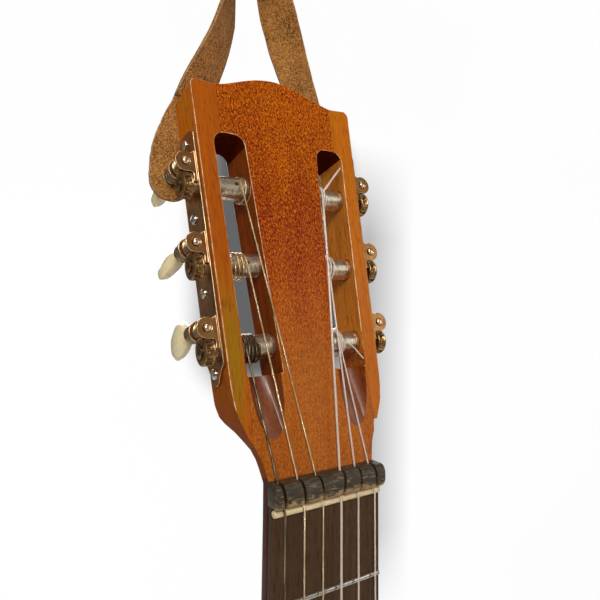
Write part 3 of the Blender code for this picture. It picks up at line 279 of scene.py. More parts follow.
def mottled_wood(name, light, dark, pore):
    """Reddish wood with a short, broken fleck on top of its streaks, paler at the head's foot."""
    shade = Shade(name, Coat_Weight=0.05, Coat_Roughness=0.20, Specular_IOR_Level=0.14)
    shade.lean_with_head()
    streaks = shade.noise((330, 330, 22), 5, 0.65, 0.5)
    bands = shade.noise((48, 48, 11), 3, 0.5, 0.8)
    fleck = shade.noise((1550, 1550, 820), 3, 0.7, 0.6)
    cross = shade.noise((110, 110, 620), 2, 0.5, 0.4)
    height_up = shade.axis("Z")
    upper = shade.ramp(height_up, 0.045, 0.085)
    share = shade.plus(shade.spread(streaks, 0, 0.35), shade.spread(bands, 0, 0.45))
    share = shade.plus(share, shade.ramp(cross, 0.45, 0.75, 0, 0.2))
    middle = shade.minus(1.0, shade.ramp(
        shade.math("ABSOLUTE", shade.minus(height_up, 0.100)), 0.010, 0.062))
    share = shade.plus(share, shade.times(middle, 0.42))
    colour = shade.mix(share, light, dark)
    lower = shade.mix(share, rgb(196, 112, 30), rgb(156, 74, 14))
    colour = shade.mix(upper, lower, colour)
    strength = shade.ramp(height_up, 0.040, 0.105, 0.38, 0.95)
    spots = shade.times(shade.ramp(fleck, 0.48, 0.58), strength)
    colour = shade.mix(spots, colour, pore)
    sparks = shade.times(shade.ramp(fleck, 0.46, 0.30), strength)
    colour = shade.mix(sparks, colour, rgb(244, 144, 18))
    pores = shade.ramp(shade.noise((2100, 2100, 420), 1, 0.5, 0), 0.60, 0.70)
    colour = shade.mix(shade.times(pores, 0.55), colour, rgb(84, 30, 8))
    gloss = shade.spread(streaks, 0.30, 0.44)
    height = shade.minus(shade.times(fleck, 0.3), pores)
    return shade.finish(colour, gloss, height, 0.14, 0.0002)


def worn_and_highlit_edge(name, base, pale):
    """Where the varnish has rubbed through along an edge; its pale colour is partly a painted
    highlight.
    """
    shade = Shade(name, Coat_Weight=0.3, Coat_Roughness=0.2)
    patches = shade.noise(230.0, 5, 0.7)
    share = shade.ramp(patches, 0.42, 0.60)
    return shade.finish(shade.mix(share, base, pale), shade.spread(patches, 0.3, 0.5),
                        patches, 0.2)


def metal(name, bright, dark, roughness=(0.22, 0.5), patch=260.0, tarnish=(0.40, 0.66),
          brushed=(900, 900, 900), bump=0.10):
    """Plated metal with tarnish in patches and fine scratches."""
    shade = Shade(name, Metallic=1.0)
    patches = shade.noise(patch, 5, 0.7, 0.3)
    fine = shade.noise(brushed, 3, 0.6, 0)
    share = shade.plus(patches, shade.spread(fine, -0.12, 0.12))
    colour = shade.mix(shade.ramp(share, *tarnish), bright, dark)
    gloss = shade.ramp(share, tarnish[0], tarnish[1], *roughness)
    return shade.finish(colour, gloss, fine, bump, 0.0001)


def plastic(name, middle, ends, length_axis="Y", span=(0.0221, 0.0386)):
    """Cream celluloid, tan towards both ends as painted shade, with faint streaks."""
    shade = Shade(name, Subsurface_Weight=0.25, Subsurface_Scale=0.002, Coat_Weight=0.4)
    streaks = shade.noise((700, 120, 120), 4, 0.6, 1.0)
    along = shade.ramp(shade.axis(length_axis), span[0], span[1])
    # painted shade: tan towards both rounded ends of the button
    centred = shade.math("ABSOLUTE", shade.minus(along, 0.42))
    share = shade.plus(shade.ramp(centred, 0.22, 0.60, 0, 0.8), shade.spread(streaks, -0.12, 0.18))
    colour = shade.mix(share, middle, ends)
    return shade.finish(colour, shade.spread(streaks, 0.22, 0.36), streaks, 0.05)


def suede(name, light, dark):
    """Split leather with a coarse speckled nap."""
    shade = Shade(name, Sheen_Weight=0.12, Sheen_Roughness=0.5, Specular_IOR_Level=0.08)
    nap = shade.noise(1250.0, 4, 0.8, 0.6)
    broad = shade.noise(90.0, 4, 0.6)
    share = shade.plus(shade.ramp(nap, 0.40, 0.60, 0, 0.9), shade.spread(broad, -0.12, 0.2))
    return shade.finish(shade.mix(share, light, dark), shade.spread(nap, 0.8, 0.98),
                        nap, 0.75, 0.0006)


def chipped_black(name):
    """Black-stained wood, with tan wood showing where its lower front edge has chipped."""
    shade = Shade(name, Coat_Weight=0.15, Coat_Roughness=0.35)
    chips = shade.noise((230, 520, 520), 5, 0.75, 0.8)
    near_edge = shade.ramp(shade.axis("Z"), 0.0066, 0.0032)
    in_front = shade.ramp(shade.axis("Y"), -0.0015, -0.0032)
    place = shade.times(near_edge, in_front)
    share = shade.ramp(shade.plus(chips, shade.times(place, 0.26)), 0.65, 0.69)
    scuffs = shade.ramp(shade.noise((160, 900, 900), 4, 0.7, 0.3), 0.5, 0.75)
    black = shade.mix(shade.times(scuffs, 0.7), rgb(50, 41, 28), rgb(116, 96, 64))
    tan = shade.mix(shade.noise(900.0, 3), rgb(196, 158, 104), rgb(112, 78, 42))
    scratches = shade.noise((240, 1500, 1500), 4, 0.7, 0.5)
    black = shade.mix(shade.times(in_front, shade.ramp(scratches, 0.56, 0.66, 0, 0.8)),
                      black, rgb(166, 136, 88))
    return shade.finish(shade.mix(share, black, tan), shade.spread(chips, 0.32, 0.6), chips, 0.5,
                        0.0005)


def bone(name, light, dark):
    shade = Shade(name, Subsurface_Weight=0.2, Subsurface_Scale=0.001, Coat_Weight=0.2)
    streaks = shade.noise((180, 900, 900), 4, 0.7, 0.4)
    return shade.finish(shade.mix(shade.ramp(streaks, 0.35, 0.7), light, dark),
                        shade.spread(streaks, 0.25, 0.45), streaks, 0.15)


def nylon(name, tint):
    shade = Shade(name, Transmission_Weight=0.3, IOR=1.53, Coat_Weight=0.3)
    haze = shade.noise((1500, 1500, 120), 3, 0.5, 0)
    return shade.finish(shade.mix(haze, tint, tuple(0.82 * c for c in tint)),
                        shade.spread(haze, 0.14, 0.3))


def wound_wire(name, bright, dark, pitch):
    """Wire wrapped round a core: bands across Z, the way that the string runs, with painted shade
    in the grooves between the turns.
    """
    shade = Shade(name, Metallic=1.0)
    bands = shade.node("ShaderNodeTexWave", {"Vector": shade.place, "Scale": 0.314 / pitch,
                                             "Distortion": 0.0},
                       wave_type="BANDS", bands_direction="Z").outputs[0]
    worn = shade.noise((300, 300, 60), 4, 0.7, 0)
    colour = shade.mix(shade.ramp(worn, 0.40, 0.62), bright, dark)
    # painted shade: the grooves between the turns are darkened
    colour = shade.mix(shade.ramp(bands, 0.35, 0.0, 0, 0.6), colour, tuple(0.4 * c for c in dark))
    return shade.finish(colour, shade.spread(worn, 0.22, 0.42), bands, 0.5, 0.0001)


def rosette_rings(name):
    """Rings of light and dark veneer round the soundhole with a blocked mosaic in the middle."""
    shade = Shade(name, Coat_Weight=0.5, Coat_Roughness=0.1)
    centred = shade.node("ShaderNodeMapping", {0: shade.place, 1: (0, 0, -SOUNDHOLE_Z)}).outputs[0]
    split = shade.node("ShaderNodeSeparateXYZ", {0: centred})
    x, z = split.outputs["X"], split.outputs["Z"]
    radius = shade.math("SQRT", shade.plus(shade.times(x, x), shade.times(z, z)))
    angle = shade.math("ARCTAN2", z, x)
    across = shade.ramp(radius, ROSETTE_INNER, ROSETTE_OUTER)
    rings = shade.math("SINE", shade.times(across, 62.8))
    step_a = shade.math("GREATER_THAN", shade.math("SINE", shade.times(angle, 96.0)), 0)
    step_b = shade.math("GREATER_THAN", shade.math("SINE", shade.times(across, 44.0)), 0)
    tiles = shade.math("ABSOLUTE", shade.minus(step_a, step_b))
    mosaic = shade.mix(tiles, rgb(52, 28, 16), rgb(176, 116, 58))
    mosaic = shade.mix(shade.ramp(shade.noise(240.0), 0.4, 0.7, 0, 0.5), mosaic, rgb(120, 44, 24))
    veneer = shade.mix(shade.ramp(rings, -0.2, 0.2), rgb(44, 26, 16), rgb(206, 164, 98))
    inside = shade.times(shade.math("GREATER_THAN", across, 0.25),
                         shade.math("LESS_THAN", across, 0.75))
    return shade.finish(shade.mix(inside, veneer, mosaic),
                        shade.spread(shade.noise(500.0), 0.2, 0.35))


MATERIAL = {
    "mahogany": mottled_wood("mahogany", rgb(214, 110, 4), rgb(158, 56, 1), rgb(92, 22, 1)),
    "neck_wood": wood("neck_wood", rgb(104, 40, 10), rgb(66, 22, 5), rgb(28, 9, 2),
        roughness=(0.44, 0.58), coat=0.03, gloss_level=0.12),
    # side_left and side_right are lit and shaded copies of one wood for the head's sides: painted
    # light on the left-facing sides, painted shade on the right-facing ones
    "side_left": head_wood("side_left", rgb(226, 132, 20), rgb(180, 92, 8), rgb(120, 50, 4),
        grain=(520, 10), pore_size=(1300, 160), roughness=(0.5, 0.65), coat=0.0, gloss_level=0.10,
        foot=(0.015, 0.090, rgb(136, 62, 8))),
    "side_right": head_wood("side_right", rgb(206, 118, 14), rgb(168, 82, 6), rgb(116, 50, 4),
        grain=(520, 10), pore_size=(1300, 160), roughness=(0.5, 0.65), coat=0.0, gloss_level=0.10),
    "ramp_wood": head_wood("ramp_wood", rgb(150, 76, 26), rgb(104, 44, 12), rgb(56, 20, 5),
        roughness=(0.30, 0.42), coat=0.25, gloss_level=0.6),
    # painted light: a paler copy of the right wing's wood for its slot wall, which faces the key
    # light
    "cheek_inner": head_wood("cheek_inner", rgb(232, 148, 46), rgb(178, 100, 22), rgb(112, 56, 10),
        grain=(500, 12)),
    "binding_wood": wood("binding_wood", rgb(98, 56, 34), rgb(60, 32, 20), rgb(28, 14, 8),
        grain=(400, 12), coat=0.5),
    "bridge_wood": wood("bridge_wood", rgb(106, 62, 40), rgb(58, 30, 20), rgb(22, 11, 8),
        grain=(500, 20), pore_size=(1800, 160), coat=0.3, along="X"),
    # the slots' inner walls: the head's wood, made darker as painted shade inside the slots
    "slot_wood": head_wood("slot_wood", rgb(158, 76, 8), rgb(104, 40, 3), rgb(48, 15, 2), coat=0.0,
        gloss_level=0.05),
    # painted shade: an even darker copy of the head's wood for the slots' far ends
    "slot_dark": head_wood("slot_dark", rgb(92, 30, 3), rgb(58, 16, 2), rgb(24, 6, 1),
        roughness=(0.7, 0.85), coat=0.0, gloss_level=0.0),
    "cheek_left": head_wood("cheek_left", rgb(192, 98, 3), rgb(154, 68, 2), rgb(108, 40, 2),
        grain=(520, 10), pores=0.5, pore_size=(1300, 160),
        stain=((-0.0345, 0.0, 0.0500), rgb(150, 112, 2), (230, 40, 27))),
    "cheek_right": head_wood("cheek_right", rgb(214, 124, 12), rgb(176, 86, 5), rgb(120, 52, 4),
        grain=(520, 10), pores=0.45, pore_size=(1300, 160)),
    # pale edges: worn varnish, and partly a painted highlight
    "edge": worn_and_highlit_edge("edge", rgb(178, 92, 22), rgb(240, 200, 146)),
    "rosewood": wood("rosewood", rgb(126, 66, 34), rgb(56, 24, 13), rgb(20, 8, 5), grain=(260, 6),
        pores=0.5, coat=0.2),
    "board_wood": wood("board_wood", rgb(98, 70, 44), rgb(58, 38, 24), rgb(26, 16, 10),
        grain=(700, 14), pores=0.7, pore_size=(2200, 120), roughness=(0.42, 0.6), coat=0.1),
    "spruce": wood("spruce", rgb(226, 178, 104), rgb(206, 148, 74), rgb(164, 106, 50),
        grain=(620, 3), pores=0.35, pore_size=(1400, 20), roughness=(0.24, 0.34), coat=0.3),
    "inner_wood": wood("inner_wood", rgb(214, 182, 132), rgb(184, 146, 98), rgb(140, 104, 64),
        roughness=(0.6, 0.75), coat=0.0),
    "ebony": wood("ebony", rgb(48, 42, 38), rgb(30, 26, 24), rgb(14, 12, 11)),
    "nut_black": chipped_black("nut_black"),
    "bone": bone("bone", rgb(250, 232, 190), rgb(222, 190, 134)),
    "ivoroid": plastic("ivoroid", rgb(255, 240, 194), rgb(224, 172, 102)),
    "plate_metal": metal("plate_metal", rgb(208, 150, 92), rgb(140, 92, 50),
        roughness=(0.28, 0.40), brushed=(240, 900, 240), patch=110.0, tarnish=(0.30, 0.74),
        bump=0.04),
    # painted highlight: a brighter metal on the plates' bevelled edges and ears
    "rim_metal_highlight": metal("rim_metal_highlight", rgb(255, 226, 178), rgb(196, 156, 110), roughness=(0.30, 0.45),
        patch=140.0, bump=0.02),
    "worm_metal": metal("worm_metal", rgb(184, 162, 128), rgb(88, 70, 50), tarnish=(0.36, 0.72),
        patch=150.0, bump=0.04),
    "rivet_brass": metal("rivet_brass", rgb(255, 224, 188), rgb(214, 164, 124),
        roughness=(0.24, 0.38)),
    "gear_bronze": metal("gear_bronze", rgb(192, 152, 100), rgb(86, 62, 38), tarnish=(0.34, 0.72),
        patch=150.0, bump=0.03),
    "post_metal": metal("post_metal", rgb(250, 230, 204), rgb(160, 140, 114),
        roughness=(0.26, 0.46), patch=420.0, brushed=(2600, 500, 500)),
    "screw_metal": metal("screw_metal", rgb(240, 236, 226), rgb(170, 160, 144),
        roughness=(0.1, 0.25)),
    "fret_metal": metal("fret_metal", rgb(226, 222, 212), rgb(176, 166, 148),
        roughness=(0.15, 0.3)),
    "nylon": nylon("nylon", (1.0, 0.84, 0.72)),
    "wound_bright": wound_wire("wound_bright", rgb(255, 236, 190), rgb(190, 150, 96), 0.00035),
    "wound_dark": wound_wire("wound_dark", rgb(176, 152, 118), rgb(70, 52, 36), 0.00045),
    "suede": suede("suede", rgb(214, 152, 80), rgb(84, 44, 14)),
    "suede_edge": suede("suede_edge", rgb(206, 172, 130), rgb(140, 100, 62)),
    "rosette": rosette_rings("rosette_rings"),
}

# ---------------------------------------------------------------- pieces


def linked(name, data):
    obj = bpy.data.objects.new(name, data)
    bpy.context.scene.collection.objects.link(obj)
    return obj


def piece(name, mesh, material, matrix=GUITAR, body="guitar", rim=None, bevel=0.0,
          segments=2, angle=35):
    """A mesh becomes a piece that rides on a body, and stands for the node of the same name."""
    mesh.name = name
    obj = linked(name, mesh)
    obj.matrix_world = matrix
    mesh.materials.clear()
    for key in [material] + ([rim] if rim else []):
        mesh.materials.append(MATERIAL[key])
    mesh.shade_smooth()
    mesh.set_sharp_from_angle(angle=math.radians(angle))
    if bevel:
        modifier = obj.modifiers.new("rounded_edges", "BEVEL")
        modifier.width = bevel
        modifier.segments = segments
        modifier.use_clamp_overlap = False
        modifier.harden_normals = False
        modifier.loop_slide = False
        if "bevel_weight_edge" in mesh.attributes:
            modifier.limit_method = "WEIGHT"
        else:
            modifier.limit_method = "ANGLE"
            modifier.angle_limit = math.radians(angle)
        if rim:
            modifier.material = 1
        obj.modifiers.new("even_shading", "WEIGHTED_NORMAL").keep_sharp = True
    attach(obj, body)
    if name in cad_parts:
        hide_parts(name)
    return obj


def mesh_from_bmesh(bm):
    bmesh.ops.recalc_face_normals(bm, faces=bm.faces)
    mesh = bpy.data.meshes.new("shape")
    bm.to_mesh(mesh)
    bm.free()
    return mesh


def evaluated_mesh(obj):
    """The mesh that an object's curve or modifiers make, welded. The object is removed."""
    depsgraph = bpy.context.evaluated_depsgraph_get()
    mesh = bpy.data.meshes.new_from_object(obj.evaluated_get(depsgraph))
    bpy.data.objects.remove(obj, do_unlink=True)
    bm = bmesh.new()
    bm.from_mesh(mesh)
    bpy.data.meshes.remove(mesh)
    bmesh.ops.remove_doubles(bm, verts=bm.verts, dist=0.000004)
    return mesh_from_bmesh(bm)


def mesh_from_curve(curve):
    return evaluated_mesh(linked("curve", curve))


def carved(mesh, *steps):
    """A mesh after a list of (operation, cutter mesh) Boolean steps."""
    obj = linked("carved", mesh)
    cutters = []
    for operation, cutter in steps:
        modifier = obj.modifiers.new("step", "BOOLEAN")
        modifier.operation = operation
        modifier.object = linked("cutter", cutter)
        cutters.append(modifier.object)
    bpy.context.view_layer.update()
    result = evaluated_mesh(obj)
    for tool in cutters:
        bpy.data.objects.remove(tool, do_unlink=True)
    return result


def moved(mesh, matrix):
    mesh.transform(matrix)
    if matrix.determinant() < 0:
        mesh.flip_normals()
    return mesh


def skin(bm, rings):
    for ring, following in zip(rings, rings[1:]):
        count = len(ring)
        for i in range(count):
            j = (i + 1) % count
            bm.faces.new((ring[i], ring[j], following[j], following[i]))
    bm.faces.new(rings[0])
    bm.faces.new(reversed(rings[-1]))


def lofted(rows):
    bm = bmesh.new()
    skin(bm, [[bm.verts.new(point) for point in row] for row in rows])
    return mesh_from_bmesh(bm)


def flat_shape(loops, low, high):
    """Fill closed loops of (x, z) points and extrude them from y = low to y = high."""
    curve = bpy.data.curves.new("outline", "CURVE")
    curve.dimensions = "2D"
    curve.fill_mode = "BOTH"
    curve.extrude = (high - low) / 2
    for loop in loops:
        spline = curve.splines.new("POLY")
        spline.points.add(len(loop) - 1)
        for point, (x, z) in zip(spline.points, loop):
            point.co = (x, z, 0, 1)
        spline.use_cyclic_u = True
    mesh = mesh_from_curve(curve)
    mesh.transform(Matrix.Translation((0, (low + high) / 2, 0)) @ STAND_UP)
    return mesh


def tube(points, radius, resolution=3):
    """A round wire through points; radius is one number or one for each point."""
    curve = bpy.data.curves.new("wire", "CURVE")
    curve.dimensions = "3D"
    curve.bevel_depth = 1.0
    curve.bevel_resolution = resolution
    curve.use_fill_caps = True
    spline = curve.splines.new("POLY")
    spline.points.add(len(points) - 1)
    for index, (point, at) in enumerate(zip(spline.points, points)):
        point.co = (*at, 1)
        point.radius = radius[index] if isinstance(radius, list) else radius
    return mesh_from_curve(curve)


def cylinder_between(start, end, radius, sides=32):
    start = Vector(start)
    axis = Vector(end) - start
    turn = Vector((0, 0, 1)).rotation_difference(axis).to_matrix().to_4x4()
    bm = bmesh.new()
    bmesh.ops.create_cone(bm, cap_ends=True, segments=sides, radius1=radius, radius2=radius,
                          depth=axis.length, matrix=Matrix.Translation(start + axis / 2) @ turn)
    return mesh_from_bmesh(bm)


def box_between(low, high):
    low, high = Vector(low), Vector(high)
    size = Matrix.Diagonal((*(high - low), 1))
    bm = bmesh.new()
    bmesh.ops.create_cube(bm, size=1, matrix=Matrix.Translation((low + high) / 2) @ size)
    return mesh_from_bmesh(bm)


def turned(profile, axis="X", sides=48):
    """A profile of (radius, place along the axis) points turned about that axis and closed."""
    bm = bmesh.new()
    rings = []
    for radius, place in profile:
        ring = []
        for i in range(sides):
            angle = 2 * math.pi * i / sides
            a, b = radius * math.cos(angle), radius * math.sin(angle)
            ring.append(bm.verts.new({"X": (place, a, b), "Y": (a, place, b),
                                      "Z": (a, b, place)}[axis]))
        rings.append(ring)
    skin(bm, rings)
    return mesh_from_bmesh(bm)


def circle(x, z, radius, sides=48):
    return [(x + radius * math.cos(2 * math.pi * i / sides),
             z + radius * math.sin(2 * math.pi * i / sides)) for i in range(sides)]


def arc(x, z, radius, start, end, steps):
    angles = [math.radians(start + (end - start) * i / steps) for i in range(steps + 1)]
    return [(x + radius * math.cos(a), z + radius * math.sin(a)) for a in angles]


def mix(low, high, share):
    return low + (high - low) * share


def smooth_step(share):
    share = min(max(share, 0.0), 1.0)
    return share * share * (3 - 2 * share)


def catmull(points, steps):
    padded = [points[0], *points, points[-1]]
    result = []
    for i in range(1, len(padded) - 2):
        before, start, end, after = padded[i - 1:i + 3]
        for step in range(steps):
            t = step / steps
            result.append(tuple(
                0.5 * (2 * b + (c - a) * t + (2 * a - 5 * b + 4 * c - d) * t * t
                       + (3 * b - a - 3 * c + d) * t ** 3)
                for a, b, c, d in zip(before, start, end, after)))
    result.append(tuple(points[-1]))
    return result


def weigh_edges(mesh, wanted, sharp=40):
    """Mark the sharp edges whose middle passes a test, for the Bevel modifier."""
    bm = bmesh.new()
    bm.from_mesh(mesh)
    weights = bm.edges.layers.float.new("bevel_weight_edge")
    for edge in bm.edges:
        if len(edge.link_faces) == 2 and edge.calc_face_angle(0) > math.radians(sharp):
            middle = (edge.verts[0].co + edge.verts[1].co) / 2
            if wanted(middle):
                edge[weights] = 1.0
    bm.to_mesh(mesh)
    bm.free()
    return mesh


# ---------------------------------------------------------------- head


def board_half_width(z):
    return (NUT_WIDTH + (BODY_JOIN_WIDTH - NUT_WIDTH) * z / BODY_TOP_Z) / 2


def head_half_width(v):
    for (v0, w0), (v1, w1) in zip(SHOULDER, SHOULDER[1:]):
        if v0 <= v <= v1:
            return mix(w0, w1, (v - v0) / (v1 - v0))
    return SHOULDER[-1][1] + (v - FOOT_HEIGHT) * math.tan(SIDE_TAPER)


def head_top(x):
    """Height of the head's wavy top edge at a distance from the middle."""
    x = abs(x)
    if x >= HUMP_HALF:
        return HEAD_TOP + 0.08 * (x - HUMP_HALF)
    return HEAD_TOP + HEAD_HUMP * ((1 + math.cos(math.pi * x / HUMP_HALF)) / 2) ** 0.7


def wing_loop(sign):
    """Outline of one wing, outside the glue line."""
    inner = GLUE_LINE + GLUE_GAP
    start = WING_STARTS[sign]
    heights = [start + 0.0006 + 0.0010 * i for i in range(12)]
    heights += [0.0300 + 0.0030 * i for i in range(9)] + [0.0800, 0.1150, CORNER_HEIGHT]
    outer = [(inner, start + 0.0005)]
    outer += [(head_half_width(v), v) for v in heights if head_half_width(v) > inner + 0.0003]
    corner = head_half_width(CORNER_HEIGHT)
    outer += [(corner - 0.0002, CORNER_HEIGHT + 0.0009), (corner - 0.0008, CORNER_HEIGHT + 0.0017),
              (corner - 0.0020, head_top(0.0395))]
    top = [(x, head_top(x)) for x in (0.0375, 0.0355, 0.0335, 0.0318, inner)]
    return [(sign * x, v) for x, v in outer + top]


def core_loop():
    """Outline of the head's middle, inside the glue lines."""
    inner = GLUE_LINE - GLUE_GAP
    edges = {}
    for sign, start in WING_STARTS.items():
        edge = [(head_half_width(v), v) for v in (0.0, 0.0030, 0.0055, 0.0085, 0.0110, 0.0135)]
        edge += [(min(head_half_width(start), inner), start), (inner, head_top(inner))]
        edges[sign] = edge
    steps = 60
    top = [(x, head_top(x)) for x in (inner * (1 - 2 * i / steps) for i in range(1, steps))]
    return edges[1] + top + [(-x, v) for x, v in reversed(edges[-1])]


def slot_wall(pair, v):
    low, high = SLOT_WALL_HEIGHTS
    return mix(pair[0], pair[1], (v - low) / (high - low))


def slot_loop(sign):
    """Outline of one through slot, square at the foot and with round corners at the top."""
    start = SLOT_TOP - SLOT_CORNER
    points = [(slot_wall(SLOT_INNER, SLOT_FOOT), SLOT_FOOT),
              (slot_wall(SLOT_OUTER, SLOT_FOOT), SLOT_FOOT)]
    points += arc(slot_wall(SLOT_OUTER, start) - SLOT_CORNER, start, SLOT_CORNER, 0, 90, 14)
    points += arc(slot_wall(SLOT_INNER, start) + SLOT_CORNER, start, SLOT_CORNER, 90, 180, 14)
    return [(sign * x, v) for x, v in points]


HEAD_SQUARENESS = (          # height, and the exponent that squares the back's round section
    (-0.004, 2.0), (0.001, 2.0), (0.006, 2.0), (0.010, 2.02), (0.014, 2.08), (0.018, 2.6),
    (0.0215, 3.6), (0.025, 7.0), (0.028, 15.0), (0.033, 30.0), (0.200, 40.0),
)


def head_envelope():
    """Everything of the head that is left after its foot is carved round into the neck."""
    rows = []
    steps = 20
    for v, exponent in HEAD_SQUARENESS:
        half = head_half_width(max(v, 0)) + 0.0008
        ring = [(half, -0.001, v)]
        for i in range(2 * steps + 1):
            angle = math.pi * i / (2 * steps)
            share = math.sin(angle) ** (2 / exponent)
            across = abs(math.cos(angle)) ** (2 / exponent)
            side = 1 if i <= steps else -1
            ring.append((side * half * across, HEAD_THICK * share, v))
        ring.append((-half, -0.001, v))
        rows.append(ring)
    return lofted(rows)


def side_matrix(sign):
    """The head's side at the middle post: X outward, Y into the head, Z up along the edge."""
    outward = Vector((sign * math.cos(SIDE_TAPER), 0, -math.sin(SIDE_TAPER)))
    along = Vector((sign * math.sin(SIDE_TAPER), 0, math.cos(SIDE_TAPER)))
    matrix = Matrix((outward, Vector((0, 1, 0)), along)).transposed().to_4x4()
    matrix.translation = (sign * head_half_width(MIDDLE_POST_HEIGHT), 0, MIDDLE_POST_HEIGHT)
    return matrix


def head_cutters(sign):
    """Slot, string ramp, post bores and screw bores on one side, in the head frame."""
    through = flat_shape([slot_loop(sign)], -0.002, HEAD_THICK + 0.002)
    start_x, end_x = sign * 0.0206, sign * 0.0222
    run = SLOT_FOOT + 0.006 - RAMP_START
    ramp = cylinder_between(
        (start_x - (end_x - start_x) * 0.5, -RAMP_RADIUS - 0.5 * run * math.tan(RAMP_SLOPE),
         RAMP_START - 0.5 * run),
        (end_x, -RAMP_RADIUS + run * math.tan(RAMP_SLOPE), RAMP_START + run), RAMP_RADIUS, 72)
    cutters = [through, ramp]
    for z in LEVELS.values():
        bore = cylinder_between((-0.0305, POST_DEPTH, z), (0.002, POST_DEPTH, z),
                                POST_RADIUS + 0.00025, 40)
        cutters.append(moved(bore, side_matrix(sign)))
    for z in SCREW_HEIGHTS:
        bore = cylinder_between((-0.0066, SCREW_DEPTH, z), (0.001, SCREW_DEPTH, z), 0.0014, 16)
        cutters.append(moved(bore, side_matrix(sign)))
    return cutters


NECK_HEIGHTS = (             # of the sections that the neck is drawn through
    BODY_TOP_Z + GAP, -0.320, -0.315, -0.310, -0.305, -0.300, -0.295, -0.290, -0.284, -0.277,
    -0.270, -0.261, -0.252, -0.200, -0.150, -0.080, -0.030, -0.015, -0.006, HEAD_START_Z - 0.0001,
)
NECK_DEPTHS = (0.0185, 0.0210)      # at the nut and at the heel, behind the fretboard
HEEL_START = -0.252
HEEL_DEPTH = 0.0930


def neck_section(z, half, depth, heel):
    """A ring of points at one height: flat on top, round behind, or tapering where heel is 1."""
    exponent = 2.1 + 3.0 * heel
    ring = [(half, TOP_Y, z)]
    steps = 20
    for i in range(1, 2 * steps):
        angle = math.pi * i / (2 * steps)
        share = math.sin(angle)
        across = (1 - share ** exponent) ** (1 / exponent)
        narrowing = 1 - 0.58 * heel * share ** 0.8
        side = 1 if angle < math.pi / 2 else -1
        ring.append((side * half * across * narrowing, TOP_Y + depth * share, z))
    ring.append((-half, TOP_Y, z))
    return ring


def neck_shaft():
    rows = []
    for z in NECK_HEIGHTS:
        heel = smooth_step((HEEL_START - z) / (HEEL_START - BODY_TOP_Z))
        depth = mix(mix(*NECK_DEPTHS, max(z / BODY_TOP_Z, 0)), HEEL_DEPTH, heel ** 1.25)
        rows.append(neck_section(z, board_half_width(min(z, 0)), depth, heel))
    rows.append([HEAD_IN_GUITAR @ Vector((x * 0.97, (y - TOP_Y) * 0.98 + 0.0002, 0.006))
                 for x, y, z in neck_section(0, board_half_width(0), NECK_DEPTHS[0], 0)])
    return lofted(rows)


def paint(obj, keys, choose, frame_of_choice=Matrix()):
    """Give an object more materials, and each face the one that is chosen for its place."""
    turn = frame_of_choice.to_3x3()
    first = len(obj.data.materials)
    for key in keys:
        obj.data.materials.append(MATERIAL[key])
    for face in obj.data.polygons:
        choice = choose(frame_of_choice @ face.center, turn @ face.normal)
        if choice:
            face.material_index = first + keys.index(choice)


def on_front_rim(point):
    return abs(point.y) < 0.0002 or (abs(point.y - HEAD_THICK) < 0.0003 and point.z > 0.03)


SLOT_END_SHADE_HEIGHT = 0.1400    # above it a slot's end gets painted shade
HEAD_WOOD_START = 0.0015     # below it the neck's own wood shows
CORE_SIDE_TOP = 0.0190       # up to it the core's sides show below the wings
WING_BACK_TOP = 0.033        # up to it the wing's carved back shows


